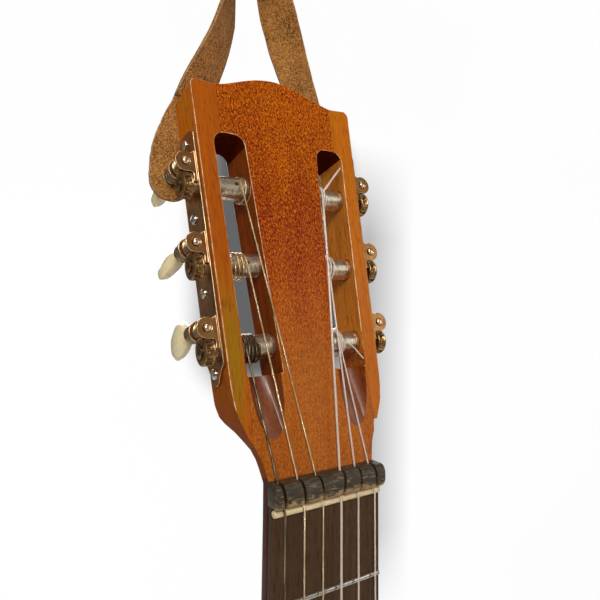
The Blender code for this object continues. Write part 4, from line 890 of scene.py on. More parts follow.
def build_head():
    """The neck with the head's core, then the two wings that are glued to the core."""
    core = carved(flat_shape([core_loop()], 0, HEAD_THICK), ("INTERSECT", head_envelope()))
    cutters = head_cutters(1) + head_cutters(-1)
    neck = moved(neck_shaft(), HEAD_IN_GUITAR.inverted())
    mesh = carved(neck, ("UNION", core), *[("DIFFERENCE", cutter) for cutter in cutters])

    def core_edges(point):
        flush_joint = abs(abs(point.x) - GLUE_LINE) < 0.0003
        ramp_foot = point.z < SLOT_FOOT - 0.0005 and abs(point.y) < 0.003 and point.z > 0.016
        return point.z > 0.030 and on_front_rim(point) and not flush_joint and not ramp_foot

    # the front edges picked here get the pale edge colour: worn varnish, partly a painted
    # highlight
    weigh_edges(mesh, core_edges)
    neck = piece("neck", moved(mesh, HEAD_IN_GUITAR), "mahogany", rim="edge", bevel=0.00026)

    def core_faces(middle, normal):
        # Slot walls get darker wood as painted shade, darkest at the slot's far end.
        in_slot = SLOT_FOOT - 0.002 < middle.z < SLOT_TOP + 0.001
        if in_slot and 0.012 < abs(middle.x) < GLUE_LINE - 0.0003 and abs(normal.y) < 0.5:
            return "slot_dark" if middle.z > SLOT_END_SHADE_HEIGHT else "slot_wood"
        if 0.012 < middle.z < SLOT_FOOT + 0.001 and middle.y > 0.0003 and normal.y < -0.05:
            return "ramp_wood"
        if middle.z < HEAD_WOOD_START and middle.y > 0.0005:
            return "neck_wood"
        on_side = middle.z < CORE_SIDE_TOP and middle.y > 0.0002 and abs(normal.x) > 0.3
        # the copy is chosen by the way the side faces: painted light on the left, painted shade on
        # the right
        if on_side and abs(normal.z) < 0.8:
            return "side_left" if normal.x < 0 else "side_right"
        return None

    paint(neck, ["slot_wood", "neck_wood", "slot_dark", "ramp_wood", "side_left", "side_right"],
          core_faces, HEAD_IN_GUITAR.inverted())
    for side, sign in SIDES:
        wing = carved(flat_shape([wing_loop(sign)], 0, HEAD_THICK), ("INTERSECT", head_envelope()),
                      *[("DIFFERENCE", cutter) for cutter in head_cutters(sign)])

        def wing_edges(point):
            flush_joint = abs(abs(point.x) - GLUE_LINE) < 0.0003
            return on_front_rim(point) and not flush_joint and point.z > 0.0290

        weigh_edges(wing, wing_edges)
        wing = piece("head_wing_" + side, moved(wing, HEAD_IN_GUITAR), "cheek_" + side,
                     rim="edge", bevel=0.00030)

        # The wing's slot wall is painted: paler wood on the right as painted light, the darker
        # slot wood on the left as painted shade.
        keys = ["slot_wood" if side == "left" else "cheek_inner", "slot_dark", "ramp_wood",
                "side_" + side]

        def wing_faces(middle, normal, sign=sign, keys=keys):
            outward = normal.x * sign
            in_slot = SLOT_FOOT - 0.001 < middle.z < SLOT_TOP + 0.001 and abs(normal.y) < 0.5
            # painted shade on the slot's downward faces at its far end
            if in_slot and normal.z < -0.3:
                return "slot_dark"
            if in_slot and outward < -0.5:
                return keys[0]
            if (middle.z < SLOT_FOOT and middle.y > 0.0004 and normal.y < -0.05
                    and outward <= 0.2):
                return "ramp_wood"
            # outer sides: side_left as painted light, side_right as painted shade
            if outward > 0.3 or (normal.y > 0.02 and middle.z < WING_BACK_TOP):
                return keys[-1]
            return None

        paint(wing, keys, wing_faces, HEAD_IN_GUITAR.inverted())


# ---------------------------------------------------------------- tuning machines


PLATE_ACROSS = (0.0013, 0.0187)
PLATE_ALONG = (-0.0490, 0.0588)
EAR_SPANS = ((0.0022, 0.0032), (0.0109, 0.0119))
RIB_DEPTHS = (0.0038, 0.0103)
RIB_RADIUS = 0.00062


def ear_shape(low, high):
    """One ear of the plate, bent up round the worm's end, seen along the worm."""
    inner = GAP + PLATE_METAL / 2
    lobe = arc(WORM_OUT, 0, 0.0044, 122, -105, 30)
    sweep = [(0.0037, -0.0045), (0.0031, -0.0049), (0.0028, -0.0056), (0.0028, -0.0066),
             (0.0030, -0.0076), (0.0031, -0.0084), (inner, -0.0086), (inner, 0.0052)]
    return flat_shape([lobe + sweep, circle(WORM_OUT, 0, 0.0019, 24)], low, high)


def build_plate(side, matrix):
    """One long plate with two ears and two raised ribs for each worm."""
    low, high = PLATE_ACROSS
    bottom, top = PLATE_ALONG
    loop = [(low, top - 0.002), (low, bottom + 0.009), (low + 0.0006, bottom + 0.0075),
            (low + 0.003, bottom + 0.006),
            *arc(SCREW_DEPTH, bottom + 0.0042, 0.0042, 200, 340, 16),
            (high - 0.002, bottom + 0.007), (high, bottom + 0.010), (high, top - 0.002),
            (high - 0.003, top), ((low + high) / 2, top + 0.0012), (low + 0.003, top)]
    holes = [circle(POST_DEPTH, z, 0.0033, 32) for z in LEVELS.values()]
    sheet = moved(flat_shape([loop, *holes], GAP, GAP + PLATE_METAL), SWAP_X_Y)
    parts = []
    for z in LEVELS.values():
        for span in EAR_SPANS:
            ear = ear_shape(*span)
            ear.transform(Matrix.Translation((0, 0, z + WORM_OFFSET)))
            parts.append(("UNION", ear))
        for depth in RIB_DEPTHS:
            ends = [(GAP + PLATE_METAL - 0.0001, depth, z + WORM_OFFSET + along)
                    for along in (-0.0078, 0.0046)]
            parts.append(("UNION", tube(ends, RIB_RADIUS, 4)))
    plate = carved(sheet, *parts)
    # The bevelled edges take the brighter rim metal, a painted highlight.
    piece("tuner_plate_" + side, plate, "plate_metal", matrix, rim="rim_metal_highlight", bevel=0.00018,
          angle=38)


SCREW_PROFILE = (
    (0.0004, -0.0068), (0.0012, -0.0050), (0.0012, 0.0), (0.0023, 0.0), (0.0023, 0.0002),
    (0.0021, 0.0007), (0.0017, 0.0011), (0.0011, 0.0014), (0.0004, 0.00155),
)


def build_screws(side, matrix):
    generator = random.Random(side)
    for index, z in enumerate(SCREW_HEIGHTS):
        slot = box_between((0.0009, -0.00028, -0.0030), (0.0030, 0.00028, 0.0030))
        screw = carved(turned(SCREW_PROFILE, "X", 32), ("DIFFERENCE", slot))
        turn = Matrix.Rotation(generator.uniform(0, math.pi), 4, "X")
        place = Matrix.Translation((GAP + PLATE_METAL, SCREW_DEPTH, z))
        piece(f"plate_screw_{side}_{index + 1}", screw, "screw_metal", matrix @ place @ turn,
              bevel=0.00008)


TOOTH = (                    # radius and half width, over the tooth from foot to foot
    (0.0046, -0.00066), (0.0051, -0.00060), (0.0055, -0.00048), (0.0058, -0.00026),
    (0.0058, 0.00026), (0.0055, 0.00048), (0.0051, 0.00060), (0.0046, 0.00066),
)


def gear_mesh():
    """A worm wheel on the X axis: worn teeth in a hollow between two plain rims."""
    loop = []
    for tooth in range(GEAR_TEETH):
        middle = math.pi / 2 + 2 * math.pi * (tooth + 0.5) / GEAR_TEETH
        for radius, half in TOOTH:
            angle = middle + half / radius
            loop.append((radius * math.cos(angle), radius * math.sin(angle)))
    low, high = GEAR_SPAN
    teeth = moved(flat_shape([loop], low + 0.0009, high - 0.0009), SWAP_X_Y)
    body = turned([(0.0050, low), (0.0056, low + 0.0002), (0.0058, low + 0.0005),
                   (0.0057, low + 0.0008), (0.0050, low + 0.0014), (0.0048, low + 0.0023),
                   (0.0050, high - 0.0014), (0.0057, high - 0.0008), (0.0058, high - 0.0005),
                   (0.0056, high - 0.0002), (0.0050, high)], "X", 56)
    bore = turned([(0.0024, low - 0.001), (0.0024, high + 0.001)], "X", 32)
    dish = turned([(0.0032, high - 0.0004), (0.0036, high + 0.001)], "X", 48)
    return carved(body, ("UNION", teeth), ("DIFFERENCE", bore), ("DIFFERENCE", dish))


POST_GEAR_START = 0.003      # beyond it the post is bronze, like its gear
POST_HOLES = {               # the string hole's distance from the head's middle
    -1: {"upper": 0.0240, "middle": 0.0228, "lower": 0.0226},
    1: {"upper": 0.0216, "middle": 0.0205, "lower": 0.0202},
}


def post_height(level):
    return MIDDLE_POST_HEIGHT + LEVELS[level]


def post_mesh(level, sign):
    """The string roller on the X axis: a drum with turned rings, and its riveted outer end."""
    v = post_height(level)
    tip = slot_wall(SLOT_INNER, v) - head_half_width(v) - 0.0060
    end = GEAR_SPAN[1] + GAP
    outer = slot_wall(SLOT_OUTER, v) - head_half_width(v) - 0.0006
    inner = tip + 0.0062
    rings = []
    for place in (inner + 0.0014, outer - 0.0010):
        rings += [(POST_RADIUS, place - 0.00045), (0.0045, place - 0.00030),
                  (0.0045, place + 0.0003), (POST_RADIUS, place + 0.00045)]
    profile = [(0.0043, tip), (0.0047, tip + 0.0002), (POST_RADIUS, tip + 0.0006), *rings,
               (POST_RADIUS, -0.0008), (0.0047, -0.0004), (0.0030, -0.0004),
               (0.0030, GEAR_SPAN[0] - GAP), (0.0021, GEAR_SPAN[0] - GAP), (0.0021, end),
               (0.0027, end), (0.0027, end + 0.0003), (0.0024, end + 0.0006),
               (0.0017, end + 0.0008), (0.0008, end + 0.00095)]
    x = POST_HOLES[sign][level] - head_half_width(v)
    bore = cylinder_between((x, -0.006, 0.0002), (x, 0.006, -0.0002), 0.00085, 24)
    return carved(turned(profile, "X", 56), ("DIFFERENCE", bore))


WORM_FRONT = 0.0019
RIVET_END = 0.0021
COLLAR_SPAN = (0.0122, 0.0194)
THREAD_PITCH = 0.0025
THREAD_TURNS = 2.4
THREAD_SECTION = (           # radius and place along the axis
    (0.0024, -0.00065), (0.0034, -0.00032), (0.0036, -0.00018), (0.0036, 0.00018),
    (0.0034, 0.00032), (0.0024, 0.00065),
)


def worm_mesh():
    """Worm shaft on the Y axis: riveted front end, threaded root, ringed collar, button end."""
    low, high = COLLAR_SPAN
    front = WORM_FRONT
    step = (high - low) / 3
    rings = []
    for i in range(3):
        y = low + i * step
        rings += [(0.0033, y), (0.0038, y + 0.12 * step), (0.0040, y + 0.28 * step),
                  (0.0040, y + 0.52 * step), (0.0038, y + 0.68 * step), (0.0032, y + 0.80 * step)]
    profile = [(0.0005, front - 0.0008), (0.0010, front - 0.00072), (0.0014, front - 0.00045),
               (0.0016, front - 0.0001), (0.0016, front + 0.0001), (0.0014, front + 0.0002),
               (0.0014, 0.0035), (0.0026, 0.0035), (0.0026, 0.0106), (0.0016, 0.0106),
               (0.0016, low), *rings, (0.0024, high), (0.0021, high + 0.0004),
               (0.0021, BUTTON_START - GAP), (0.0016, BUTTON_START - GAP), (0.0016, SOCKET_END)]
    shaft = turned(profile, "Y", 40)
    per_turn = 36
    half = int(THREAD_TURNS * per_turn / 2)
    rows = []
    for i in range(-half, half + 1):
        angle = 2 * math.pi * i / per_turn
        outward = Vector((-math.sin(angle), 0, -math.cos(angle)))
        y = POST_DEPTH + THREAD_PITCH * i / per_turn
        rows.append([outward * radius + Vector((0, y + shift, 0))
                     for radius, shift in THREAD_SECTION])
    return carved(shaft, ("UNION", lofted(rows)))


def button_mesh(turn):
    """A faceted oval button on the Y axis, narrow at the shaft, turned about it."""
    thick, length, wide = BUTTON_SIZE
    bm = bmesh.new()
    bmesh.ops.create_uvsphere(bm, u_segments=64, v_segments=40, radius=0.5)
    for vert in bm.verts:
        share = vert.co.z + 0.5
        narrow = mix(0.62, 1.0, smooth_step(share / 0.75))
        around = math.hypot(vert.co.x, vert.co.y)
        angle = math.atan2(vert.co.y, vert.co.x)
        ridge = 1.0 - 0.035 * (0.5 - 0.5 * math.cos(8 * angle)) * min(around / 0.3, 1)
        vert.co = Vector((vert.co.x * thick * ridge, share * length,
                          vert.co.y * wide * narrow * ridge))
    mesh = mesh_from_bmesh(bm)
    mesh.transform(Matrix.Translation((0, BUTTON_START, 0))
                   @ Matrix.Rotation(math.radians(turn), 4, "Y"))
    socket = cylinder_between((0, BUTTON_START - 0.002, 0), (0, SOCKET_END + GAP, 0), 0.0018, 24)
    return carved(mesh, ("DIFFERENCE", socket))


def build_machines():
    for side, sign in SIDES:
        matrix = HEAD @ side_matrix(sign)
        build_plate(side, matrix)
        build_screws(side, matrix)
        for level, z in LEVELS.items():
            tag = side + "_" + level
            axis = matrix @ Matrix.Translation((0, POST_DEPTH, z))
            worm_axis = matrix @ Matrix.Translation((WORM_OUT, 0, z + WORM_OFFSET))
            roller, shaft = "roller_" + tag, "button_shaft_" + tag
            post = piece("post_" + tag, post_mesh(level, sign), "post_metal", axis, roller,
                         angle=40)
            paint(post, ["gear_bronze"],
                  lambda middle, normal: "gear_bronze" if middle.x > POST_GEAR_START else None)
            piece("gear_" + tag, gear_mesh(), "gear_bronze", axis, roller, angle=45)
            worm = piece("worm_" + tag, worm_mesh(), "worm_metal", worm_axis, shaft, angle=42)
            paint(worm, ["rivet_brass"],
                  lambda middle, normal: "rivet_brass" if middle.y < RIVET_END else None)
            piece("button_" + tag, button_mesh(BUTTON_TURNS[tag]), "ivoroid", worm_axis, shaft,
                  angle=60)


# ---------------------------------------------------------------- strings, nut and fretboard


WINDINGS = {                 # string: its turns round the post, and how far they spread along it
    1: (3.0, 0.0030), 2: (2.5, 0.0040), 3: (2.0, 0.0024),
    4: (2.0, 0.0044), 5: (3.0, 0.0056), 6: (4.0, 0.0062),
}


def string_x(number, z):
    """A string's place across the board, at a height: they spread towards the bridge."""
    spread = mix(0.044, 0.058, -z / SCALE_LENGTH)
    return (3.5 - number) / 5 * spread


def string_way(number):
    """The string from its post to the zero fret, lifted where it crosses the slot's edge."""
    level, leave_x = STRING_POSTS[number][1:3]
    radius = STRING_RADII[number]
    leave = Vector((leave_x, POST_DEPTH - POST_RADIUS - GAP - 1.1 * radius, post_height(level)))
    rest = Vector((string_x(number, 0), -ZERO_ROD_RADIUS - GAP - radius, 0))
    start = HEAD_IN_GUITAR.inverted() @ rest
    before = slot_wall(SLOT_INNER, start.z) - abs(start.x)
    after = slot_wall(SLOT_INNER, leave.z) - abs(leave.x)
    share = before / (before - after)
    way = [HEAD_IN_GUITAR @ leave, rest]
    if 0 < share < 1:
        rim = start.lerp(leave, share)
        rim.y = min(rim.y, -radius - 2 * GAP)
        way.insert(1, HEAD_IN_GUITAR @ rim)
    return way


def coil_points(number, steps=28):
    """The windings round the post's axis, which lies along X, in the head frame."""
    side, level, leave_x, direction = STRING_POSTS[number]
    turns, drift = WINDINGS[number]
    around = POST_RADIUS + GAP / 2 + STRING_RADII[number] + 0.00012
    lean = math.tan(SIDE_TAPER) * (1 if side == "right" else -1)
    points = []
    for i in range(int(turns * steps) + 1):
        angle = 2 * math.pi * i / steps
        rise = around * math.sin(angle)
        points.append(Vector((
            leave_x + direction * i / (turns * steps) * drift + lean * rise,
            POST_DEPTH - around * math.cos(angle), post_height(level) + rise)))
    return points


TAIL_ENDS = {                # string: the hole, then a bend and the end seen from the hole
    1: ((0.0022, -0.0054, 0.0004), (0.0042, -0.0012, -0.0030), (0.0092, -0.0012, -0.0088)),
    3: ((0.0016, -0.0050, 0.0024), (0.0040, -0.0016, 0.0052), (0.0096, -0.0030, 0.0118)),
}


def build_strings():
    """Each string's run to the bridge, its windings, and a loose tail on two of them."""
    for number, (side, level, *_) in STRING_POSTS.items():
        radius = STRING_RADII[number]
        tag = side + "_" + level
        plain = number < 4
        key = "nylon" if plain else ("wound_dark" if number == 6 else "wound_bright")
        hole_x = string_x(number, -SCALE_LENGTH)
        over = SADDLE_TOP - GAP - radius
        points = [*string_way(number), (hole_x, over, -SCALE_LENGTH + SADDLE_HALF),
                  (hole_x, over, -SCALE_LENGTH - SADDLE_HALF),
                  *[(hole_x, TIE_HOLE_Y, z) for z in TIE_RUN]]
        piece(f"string_{number}", tube(points, radius, 5), key, angle=80)
        wrap = moved(tube(coil_points(number), radius, 4), HEAD_IN_GUITAR)
        piece(f"string_{number}_wraps", wrap, key, GUITAR, "roller_" + tag, angle=80)
        if number in TAIL_ENDS:
            build_tail(number, key)


def build_tail(number, key):
    """The string's cut end, which comes out of the post's hole and curls away."""
    side, level, leave_x = STRING_POSTS[number][:3]
    hole, middle, end = (Vector(offset) for offset in TAIL_ENDS[number])
    front = Vector((leave_x, POST_DEPTH, post_height(level))) + hole
    path = catmull([front + Vector((0, 0.0012, 0)), front, front + middle, front + end], 9)
    tail = moved(tube(path, 0.92 * STRING_RADII[number], 4), HEAD_IN_GUITAR)
    piece(f"string_{number}_tail", tail, key, GUITAR, f"roller_{side}_{level}",
          angle=80)


def build_nut():
    """A block with rounded ends and a slot for each string."""
    low, high = NUT_SPAN
    rise = NUT_HEIGHT
    profile = [(low, -rise * 0.72), (low + 0.0006, -rise * 0.88), (low + 0.0014, -rise * 0.97),
               (low + 0.0028, -rise), (low + 0.0050, -rise * 0.99), (high - 0.0028, -rise * 0.93),
               (high - 0.0014, -rise * 0.80), (high - 0.0004, -rise * 0.60), (high, -rise * 0.42),
               (high, BOARD_THICK - 0.0002), (high - 0.0019, BOARD_THICK - GAP),
               (low, BOARD_THICK - GAP)]
    middle_z, middle_y = NUT_MIDDLE
    rows = []
    for sign, (half, knob) in NUT_ENDS.items():
        side_rows = []
        for step in range(9):
            share = step / 8
            scale = max(math.sqrt(1 - share ** 2), 0.30)
            x = sign * (half - knob * (1 - share))
            side_rows.append([(x, middle_y + (y - middle_y) * scale,
                               middle_z + (z - middle_z) * scale) for z, y in profile])
        rows += side_rows if sign > 0 else side_rows[::-1]
    cuts = []
    for number, radius in STRING_RADII.items():
        upper, lower = string_way(number)[-2:]
        half = radius + 0.00016
        ends = []
        for z in (low - 0.004, high + 0.006):
            x = upper.lerp(lower, 1 - z / upper.z).x
            ends.append([(x - half, -0.010, z), (x + half, -0.010, z), (x + half, 0.0026, z),
                         (x - half, 0.0026, z)])
        cuts.append(("DIFFERENCE", lofted(ends)))
    piece("nut", carved(lofted(rows), *cuts), "nut_black", bevel=0.00014,
          angle=40)


FRET_SECTION = (
    (-0.0011, -0.00002), (-0.0010, -0.0005), (-0.0006, -0.00085), (0.0, -0.0010),
    (0.0006, -0.00085), (0.0010, -0.0005), (0.0011, -0.00002), (0.00025, -0.00002),
    (0.00025, 0.0014), (-0.00025, 0.0014), (-0.00025, -0.00002),
)


def build_board():
    """The fretboard with a groove for the round zero fret and a slit for each fret."""
    low, high = BOARD_END, 0.0019
    loop = [(board_half_width(low), low), (board_half_width(high), high),
            (-board_half_width(high), high), (-board_half_width(low), low)]
    groove = cylinder_between((-0.05, 0, 0), (0.05, 0, 0), ZERO_ROD_RADIUS + GAP, 40)
    steps = [("DIFFERENCE", groove)]
    fret_meshes = []
    for number in range(1, 20):
        z = -SCALE_LENGTH * (1 - 2 ** (-number / 12))
        half = board_half_width(z)
        slit = box_between((-half - 0.001, -0.001, z - 0.0003), (half + 0.001, 0.0016, z + 0.0003))
        steps.append(("DIFFERENCE", slit))
        fret_meshes.append(moved(flat_shape([FRET_SECTION], -half + 0.0004, half - 0.0004),
                                 Matrix.Translation((0, 0, z)) @ ALONG_X))
    board = carved(flat_shape([loop], 0, BOARD_THICK - GAP), *steps)
    piece("fretboard", board, "board_wood", bevel=0.0003)
    for number, mesh in enumerate(fret_meshes, 1):
        piece(f"fret_{number}", mesh, "fret_metal", angle=50)
    end = NUT_WIDTH / 2
    rod = turned([(0.0008, -end), (0.0013, -end + 0.0002), (ZERO_ROD_RADIUS, -end + 0.0008),
                  (ZERO_ROD_RADIUS, end - 0.0008), (0.0013, end - 0.0002), (0.0008, end)], "X", 40)
    piece("zero_fret", rod, "bone")


# ---------------------------------------------------------------- body


def half_outline():
    """Right half of the body's outline from the heel to the tail, as (x, z) points."""
    top = BODY_TOP_Z
    knots = [
        (0.0360, top), (0.0780, top - 0.0110), (0.1150, top - 0.0400), (0.1385, top - 0.0880),
        (0.1340, top - 0.1400), (0.1175, top - 0.1860), (0.1290, top - 0.2330),
        (0.1660, top - 0.2920), (0.1820, top - 0.3560), (0.1740, top - 0.4130),
        (0.1330, top - 0.4600), (0.0700, top - 0.4830), (0.0, top - BODY_LENGTH),
    ]
    steps = 12
    return catmull([*knots, (-knots[-2][0], knots[-2][1])], steps)[:-steps]


def inset_outline(points, distance):
    """Move an open run of outline points inward by a distance."""
    inset = []
    for i, (x, z) in enumerate(points):
        before = points[max(i - 1, 0)]
        after = points[min(i + 1, len(points) - 1)]
        along = Vector((after[0] - before[0], after[1] - before[1])).normalized()
        if i == 0:
            along = Vector((1, 0))
        if i == len(points) - 1:
            along = Vector((-1, 0))
        inset.append((x + along.y * distance, z - along.x * distance))
    return inset


def full_outline(distance=0.0):
    right = inset_outline(half_outline(), distance)
    return right + [(-x, z) for x, z in reversed(right[:-1])]


def build_body():
    """The soundboard, rosette, back, sides and bindings, smoother than the frame's own."""
    outline = full_outline(BINDING_WIDE + GAP)
    hole = circle(0, SOUNDHOLE_Z, SOUNDHOLE_RADIUS, 96)
    channel = flat_shape([circle(0, SOUNDHOLE_Z, ROSETTE_OUTER + 0.0001, 96),
                          circle(0, SOUNDHOLE_Z, ROSETTE_INNER - 0.0001, 96)],
                         TOP_Y - 0.001, TOP_Y + 0.0013)
    board = carved(flat_shape([outline, hole], TOP_Y, TOP_Y + PLATE_THICK),
                   ("DIFFERENCE", channel))
    piece("soundboard", board, "spruce", bevel=0.0002)
    rosette = flat_shape([circle(0, SOUNDHOLE_Z, ROSETTE_OUTER, 96),
                          circle(0, SOUNDHOLE_Z, ROSETTE_INNER, 96)], TOP_Y, TOP_Y + 0.0010)
    piece("rosette", rosette, "rosette", bevel=0.0001)
    back = flat_shape([outline], BACK_Y - PLATE_THICK, BACK_Y)
    piece("back_plate", back, "rosewood", bevel=0.0002)
    loops = [full_outline(), full_outline(BINDING_WIDE)]
    for name, low, high in (("top_binding", TOP_Y, TOP_Y + BINDING_TALL),
                            ("back_binding", BACK_Y - BINDING_TALL, BACK_Y)):
        piece(name, flat_shape(loops, low, high), "binding_wood",
              bevel=0.0004, segments=3, angle=50)
    run = half_outline()
    run = [(GAP / 2, run[0][1]), *run[:-1], (GAP / 2, run[-1][1])]
    loop = run + list(reversed(inset_outline(run, SIDE_THICK)))
    for name, sign in (("side_right", 1), ("side_left", -1)):
        side = flat_shape([[(sign * x, z) for x, z in loop]], TOP_Y + BINDING_TALL + GAP,
                          BACK_Y - BINDING_TALL - GAP)
        piece(name, side, "rosewood")


def build_bridge():
    """The bridge's block and wings, with a slot for the saddle and a hole for each string."""
    low, high = BRIDGE_SPAN
    base = TOP_Y - GAP
    top = base - BRIDGE_HEIGHT
    middle_half, wing_half = BRIDGE_HALVES
    block = [(low, base), (low, top + 0.0014), (low + 0.0004, top + 0.0005), (low + 0.0012, top),
             (low + 0.0112, top), (low + 0.0121, top + 0.0004), (low + 0.0128, top + 0.0018),
             (low + 0.0138, top + 0.0038), (low + 0.0168, top + 0.0038),
             (low + 0.0178, top + 0.0020), (low + 0.0188, top + 0.0013),
             (high - 0.0022, top + 0.0013), (high - 0.0010, top + 0.0018),
             (high - 0.0003, top + 0.0030), (high, base)]
    middle = moved(flat_shape([block], -middle_half, middle_half), ALONG_X)
    top = base - BRIDGE_WING_HEIGHT
    wing = [(low, base), (low, top + 0.0016), (low + 0.0010, top + 0.0006), (low + 0.0030, top),
            (high - 0.0030, top), (high - 0.0010, top + 0.0006), (high, top + 0.0016),
            (high, base)]
    steps = [("UNION", moved(flat_shape([wing], -wing_half, wing_half), ALONG_X))]
    half = SADDLE_HALF + GAP
    steps.append(("DIFFERENCE", box_between((-0.038, -0.020, -SCALE_LENGTH - half),
                                            (0.038, base - 0.0025, -SCALE_LENGTH + half))))
    for number in STRING_RADII:
        x = string_x(number, -SCALE_LENGTH)
        ends = [(x, TIE_HOLE_Y, low + along) for along in (-0.001, 0.016)]
        steps.append(("DIFFERENCE", cylinder_between(*ends, TIE_HOLE_RADIUS, 16)))
    piece("bridge", carved(middle, *steps), "bridge_wood", bevel=0.0003,
          angle=40)
    crown = [(SADDLE_HALF, base - 0.0028), (SADDLE_HALF, -0.0070), (0.0010, -0.0074),
             (0.0005, -0.00765)]
    saddle = [(-z, y) for z, y in crown] + [(0.0, SADDLE_TOP)] + crown[::-1]
    saddle = [(z - SCALE_LENGTH, y) for z, y in saddle]
    saddle = flat_shape([saddle], -SADDLE_HALF_LENGTH, SADDLE_HALF_LENGTH)
    piece("saddle", moved(saddle, ALONG_X), "bone", bevel=0.0002, angle=60)


# ---------------------------------------------------------------- hanging strap


WRAP_STEPS = 12
STRAP_COLUMNS = 11
STRAP_TIP = 0.0010          # half width at the very end of a rounded tab
STRAP_RAGGED = 0.00022
STRAP_HOLE = (0.0466, 0.1328)
STRAP_APART = 0.0010        # the right leg is this far outward, and the left leg inward
STRAP_ON_HEAD = (           # x and height in the head frame, and the share of STRAP_APART
    (0.0341, 0.1690, 0.8), (0.0388, 0.1600, 0.6), (0.0441, 0.1460, 0.0),
    (0.0464, 0.1328, 0.0), (0.0464, 0.1222, 0.0),
)
STRAP_IN_AIR = (            # a place in the guitar frame, and the share of STRAP_APART
    (0.0185, 0.0680, 0.2080, 1.4), (0.0302, 0.0672, 0.1800, 1.0),
)
STRAP_EDGE_HEIGHT = 0.1720  # where it comes to lie flat on the head's back
STRAP_WRAP = math.radians(71)
LEFT_TWIST = (0.61, 50)     # share of its way up where the left leg has turned this far


def strap_rows(sign):
    """One leg of the strap as rows of (middle, turn of its width out of the face)."""
    radius = PEG_RADIUS + STRAP_THICK / 2 + GAP
    rows = []
    for i in range(WRAP_STEPS + 1):
        angle = STRAP_WRAP * i / WRAP_STEPS
        rows.append((Vector((radius * math.sin(angle), PEG_Y, PEG_Z + radius * math.cos(angle))),
                     math.radians(90)))
    shift = STRAP_APART * sign
    path = [tuple(rows[-1][0])]
    path += [(x + apart * shift, y, z) for x, y, z, apart in STRAP_IN_AIR]
    path += [tuple(HEAD_IN_GUITAR @ Vector((x + apart * shift, STRAP_DEPTH, v)))
             for x, v, apart in STRAP_ON_HEAD]
    smooth = [Vector(point) for point in catmull(path, 16)][1:]
    upper_z = rows[-1][0].z
    edge_z = (HEAD_IN_GUITAR @ Vector((0, STRAP_DEPTH, STRAP_EDGE_HEIGHT))).z
    knee, knee_turn = LEFT_TWIST
    for point in smooth:
        share = max((point.z - edge_z) / (upper_z - edge_z), 0)
        if sign > 0:
            turn = 90 * share ** 1.7
        elif share < knee:
            turn = knee_turn * (share / knee) ** 0.4
        else:
            turn = mix(knee_turn, 90, (share - knee) / (1 - knee))
        rows.append((point, math.radians(turn)))
    return rows


def strap_grid(sign):
    """Rows of points across one leg of the strap, from its top to its rounded end."""
    depth_axis = HEAD_IN_GUITAR.to_3x3() @ Vector((0, 1, 0))
    rows = strap_rows(sign)
    end = rows[-1][0]
    grid = []
    for index, (middle, turn) in enumerate(rows):
        after = rows[min(index + 1, len(rows) - 1)][0]
        along = (after - rows[max(index - 1, 0)][0]).normalized()
        if index == 0:
            along = Vector((1, 0, 0))
        across = depth_axis.cross(along).normalized()
        direction = across * math.cos(turn) + along.cross(across) * math.sin(turn)
        if index <= WRAP_STEPS:
            direction = Vector((0, 1 if direction.y > 0 else -1, 0))
        half = STRAP_WIDTH / 2
        to_end = (middle - end).length
        if to_end < half:
            half = math.sqrt(max(half ** 2 - (half - to_end) ** 2, STRAP_TIP ** 2))
        row = []
        for k in range(STRAP_COLUMNS):
            side = -1 + 2 * k / (STRAP_COLUMNS - 1)
            ragged = STRAP_RAGGED * noise.noise(Vector((index * 0.35, sign * 3.0, side * 2)))
            point = middle + direction * (half * side + ragged * side)
            row.append(Vector((sign * point.x, point.y, point.z)))
        grid.append(row)
    return grid


def build_strap():
    right, left = strap_grid(1), strap_grid(-1)
    bm = bmesh.new()
    grid = [[bm.verts.new(point) for point in row] for row in left[:0:-1] + right]
    for first, second in zip(grid, grid[1:]):
        for a, b, c, d in zip(first, first[1:], second[1:], second):
            bm.faces.new((a, b, c, d))
    sheet = linked("strap_sheet", mesh_from_bmesh(bm))
    leather = sheet.modifiers.new("leather", "SOLIDIFY")
    leather.thickness = STRAP_THICK
    leather.offset = 0
    holes = []
    for sign in (1, -1):
        x, z = STRAP_HOLE
        ends = [(sign * x, STRAP_DEPTH + out, z) for out in (-0.003, 0.003)]
        holes.append(("DIFFERENCE", moved(cylinder_between(*ends, 0.0030, 32), HEAD_IN_GUITAR)))
    piece("hanging_strap", carved(evaluated_mesh(sheet), *holes), "suede", rim="suede_edge",
          bevel=0.00035, segments=3, angle=50)


# ---------------------------------------------------------------- lights, camera and stage


WALL_Y = 0.050
WALL_SHADOW = (0.044, -0.142)       # x and z of the middle of the shade close behind the head
WALL_SHADOW_HALF = (0.018, 0.052)   # half of its flat middle, before its round soft edge
WALL_SHADOW_EDGE = (0.050, 0.018)   # how far from the flat middle it starts and is full
WALL_SHADOW_DEPTH = 0.87
WALL_BAND = (0.095, -0.235)         # x and z of the middle of the paler shade beside the head
WALL_BAND_EDGES = ((0.064, 0.022), (0.170, 0.105))
WALL_BAND_DEPTH = 0.50
FLOOR_Z = -1.2


def add_plane(name, corners, material):
    """A flat sheet of the stage, which isn't part of the object."""
    bm = bmesh.new()
    bm.faces.new([bm.verts.new(corner) for corner in corners])
    mesh = bpy.data.meshes.new(name)
    bm.to_mesh(mesh)
    bm.free()
    plane = linked(name, mesh)
    plane.data.materials.append(material)
    return plane


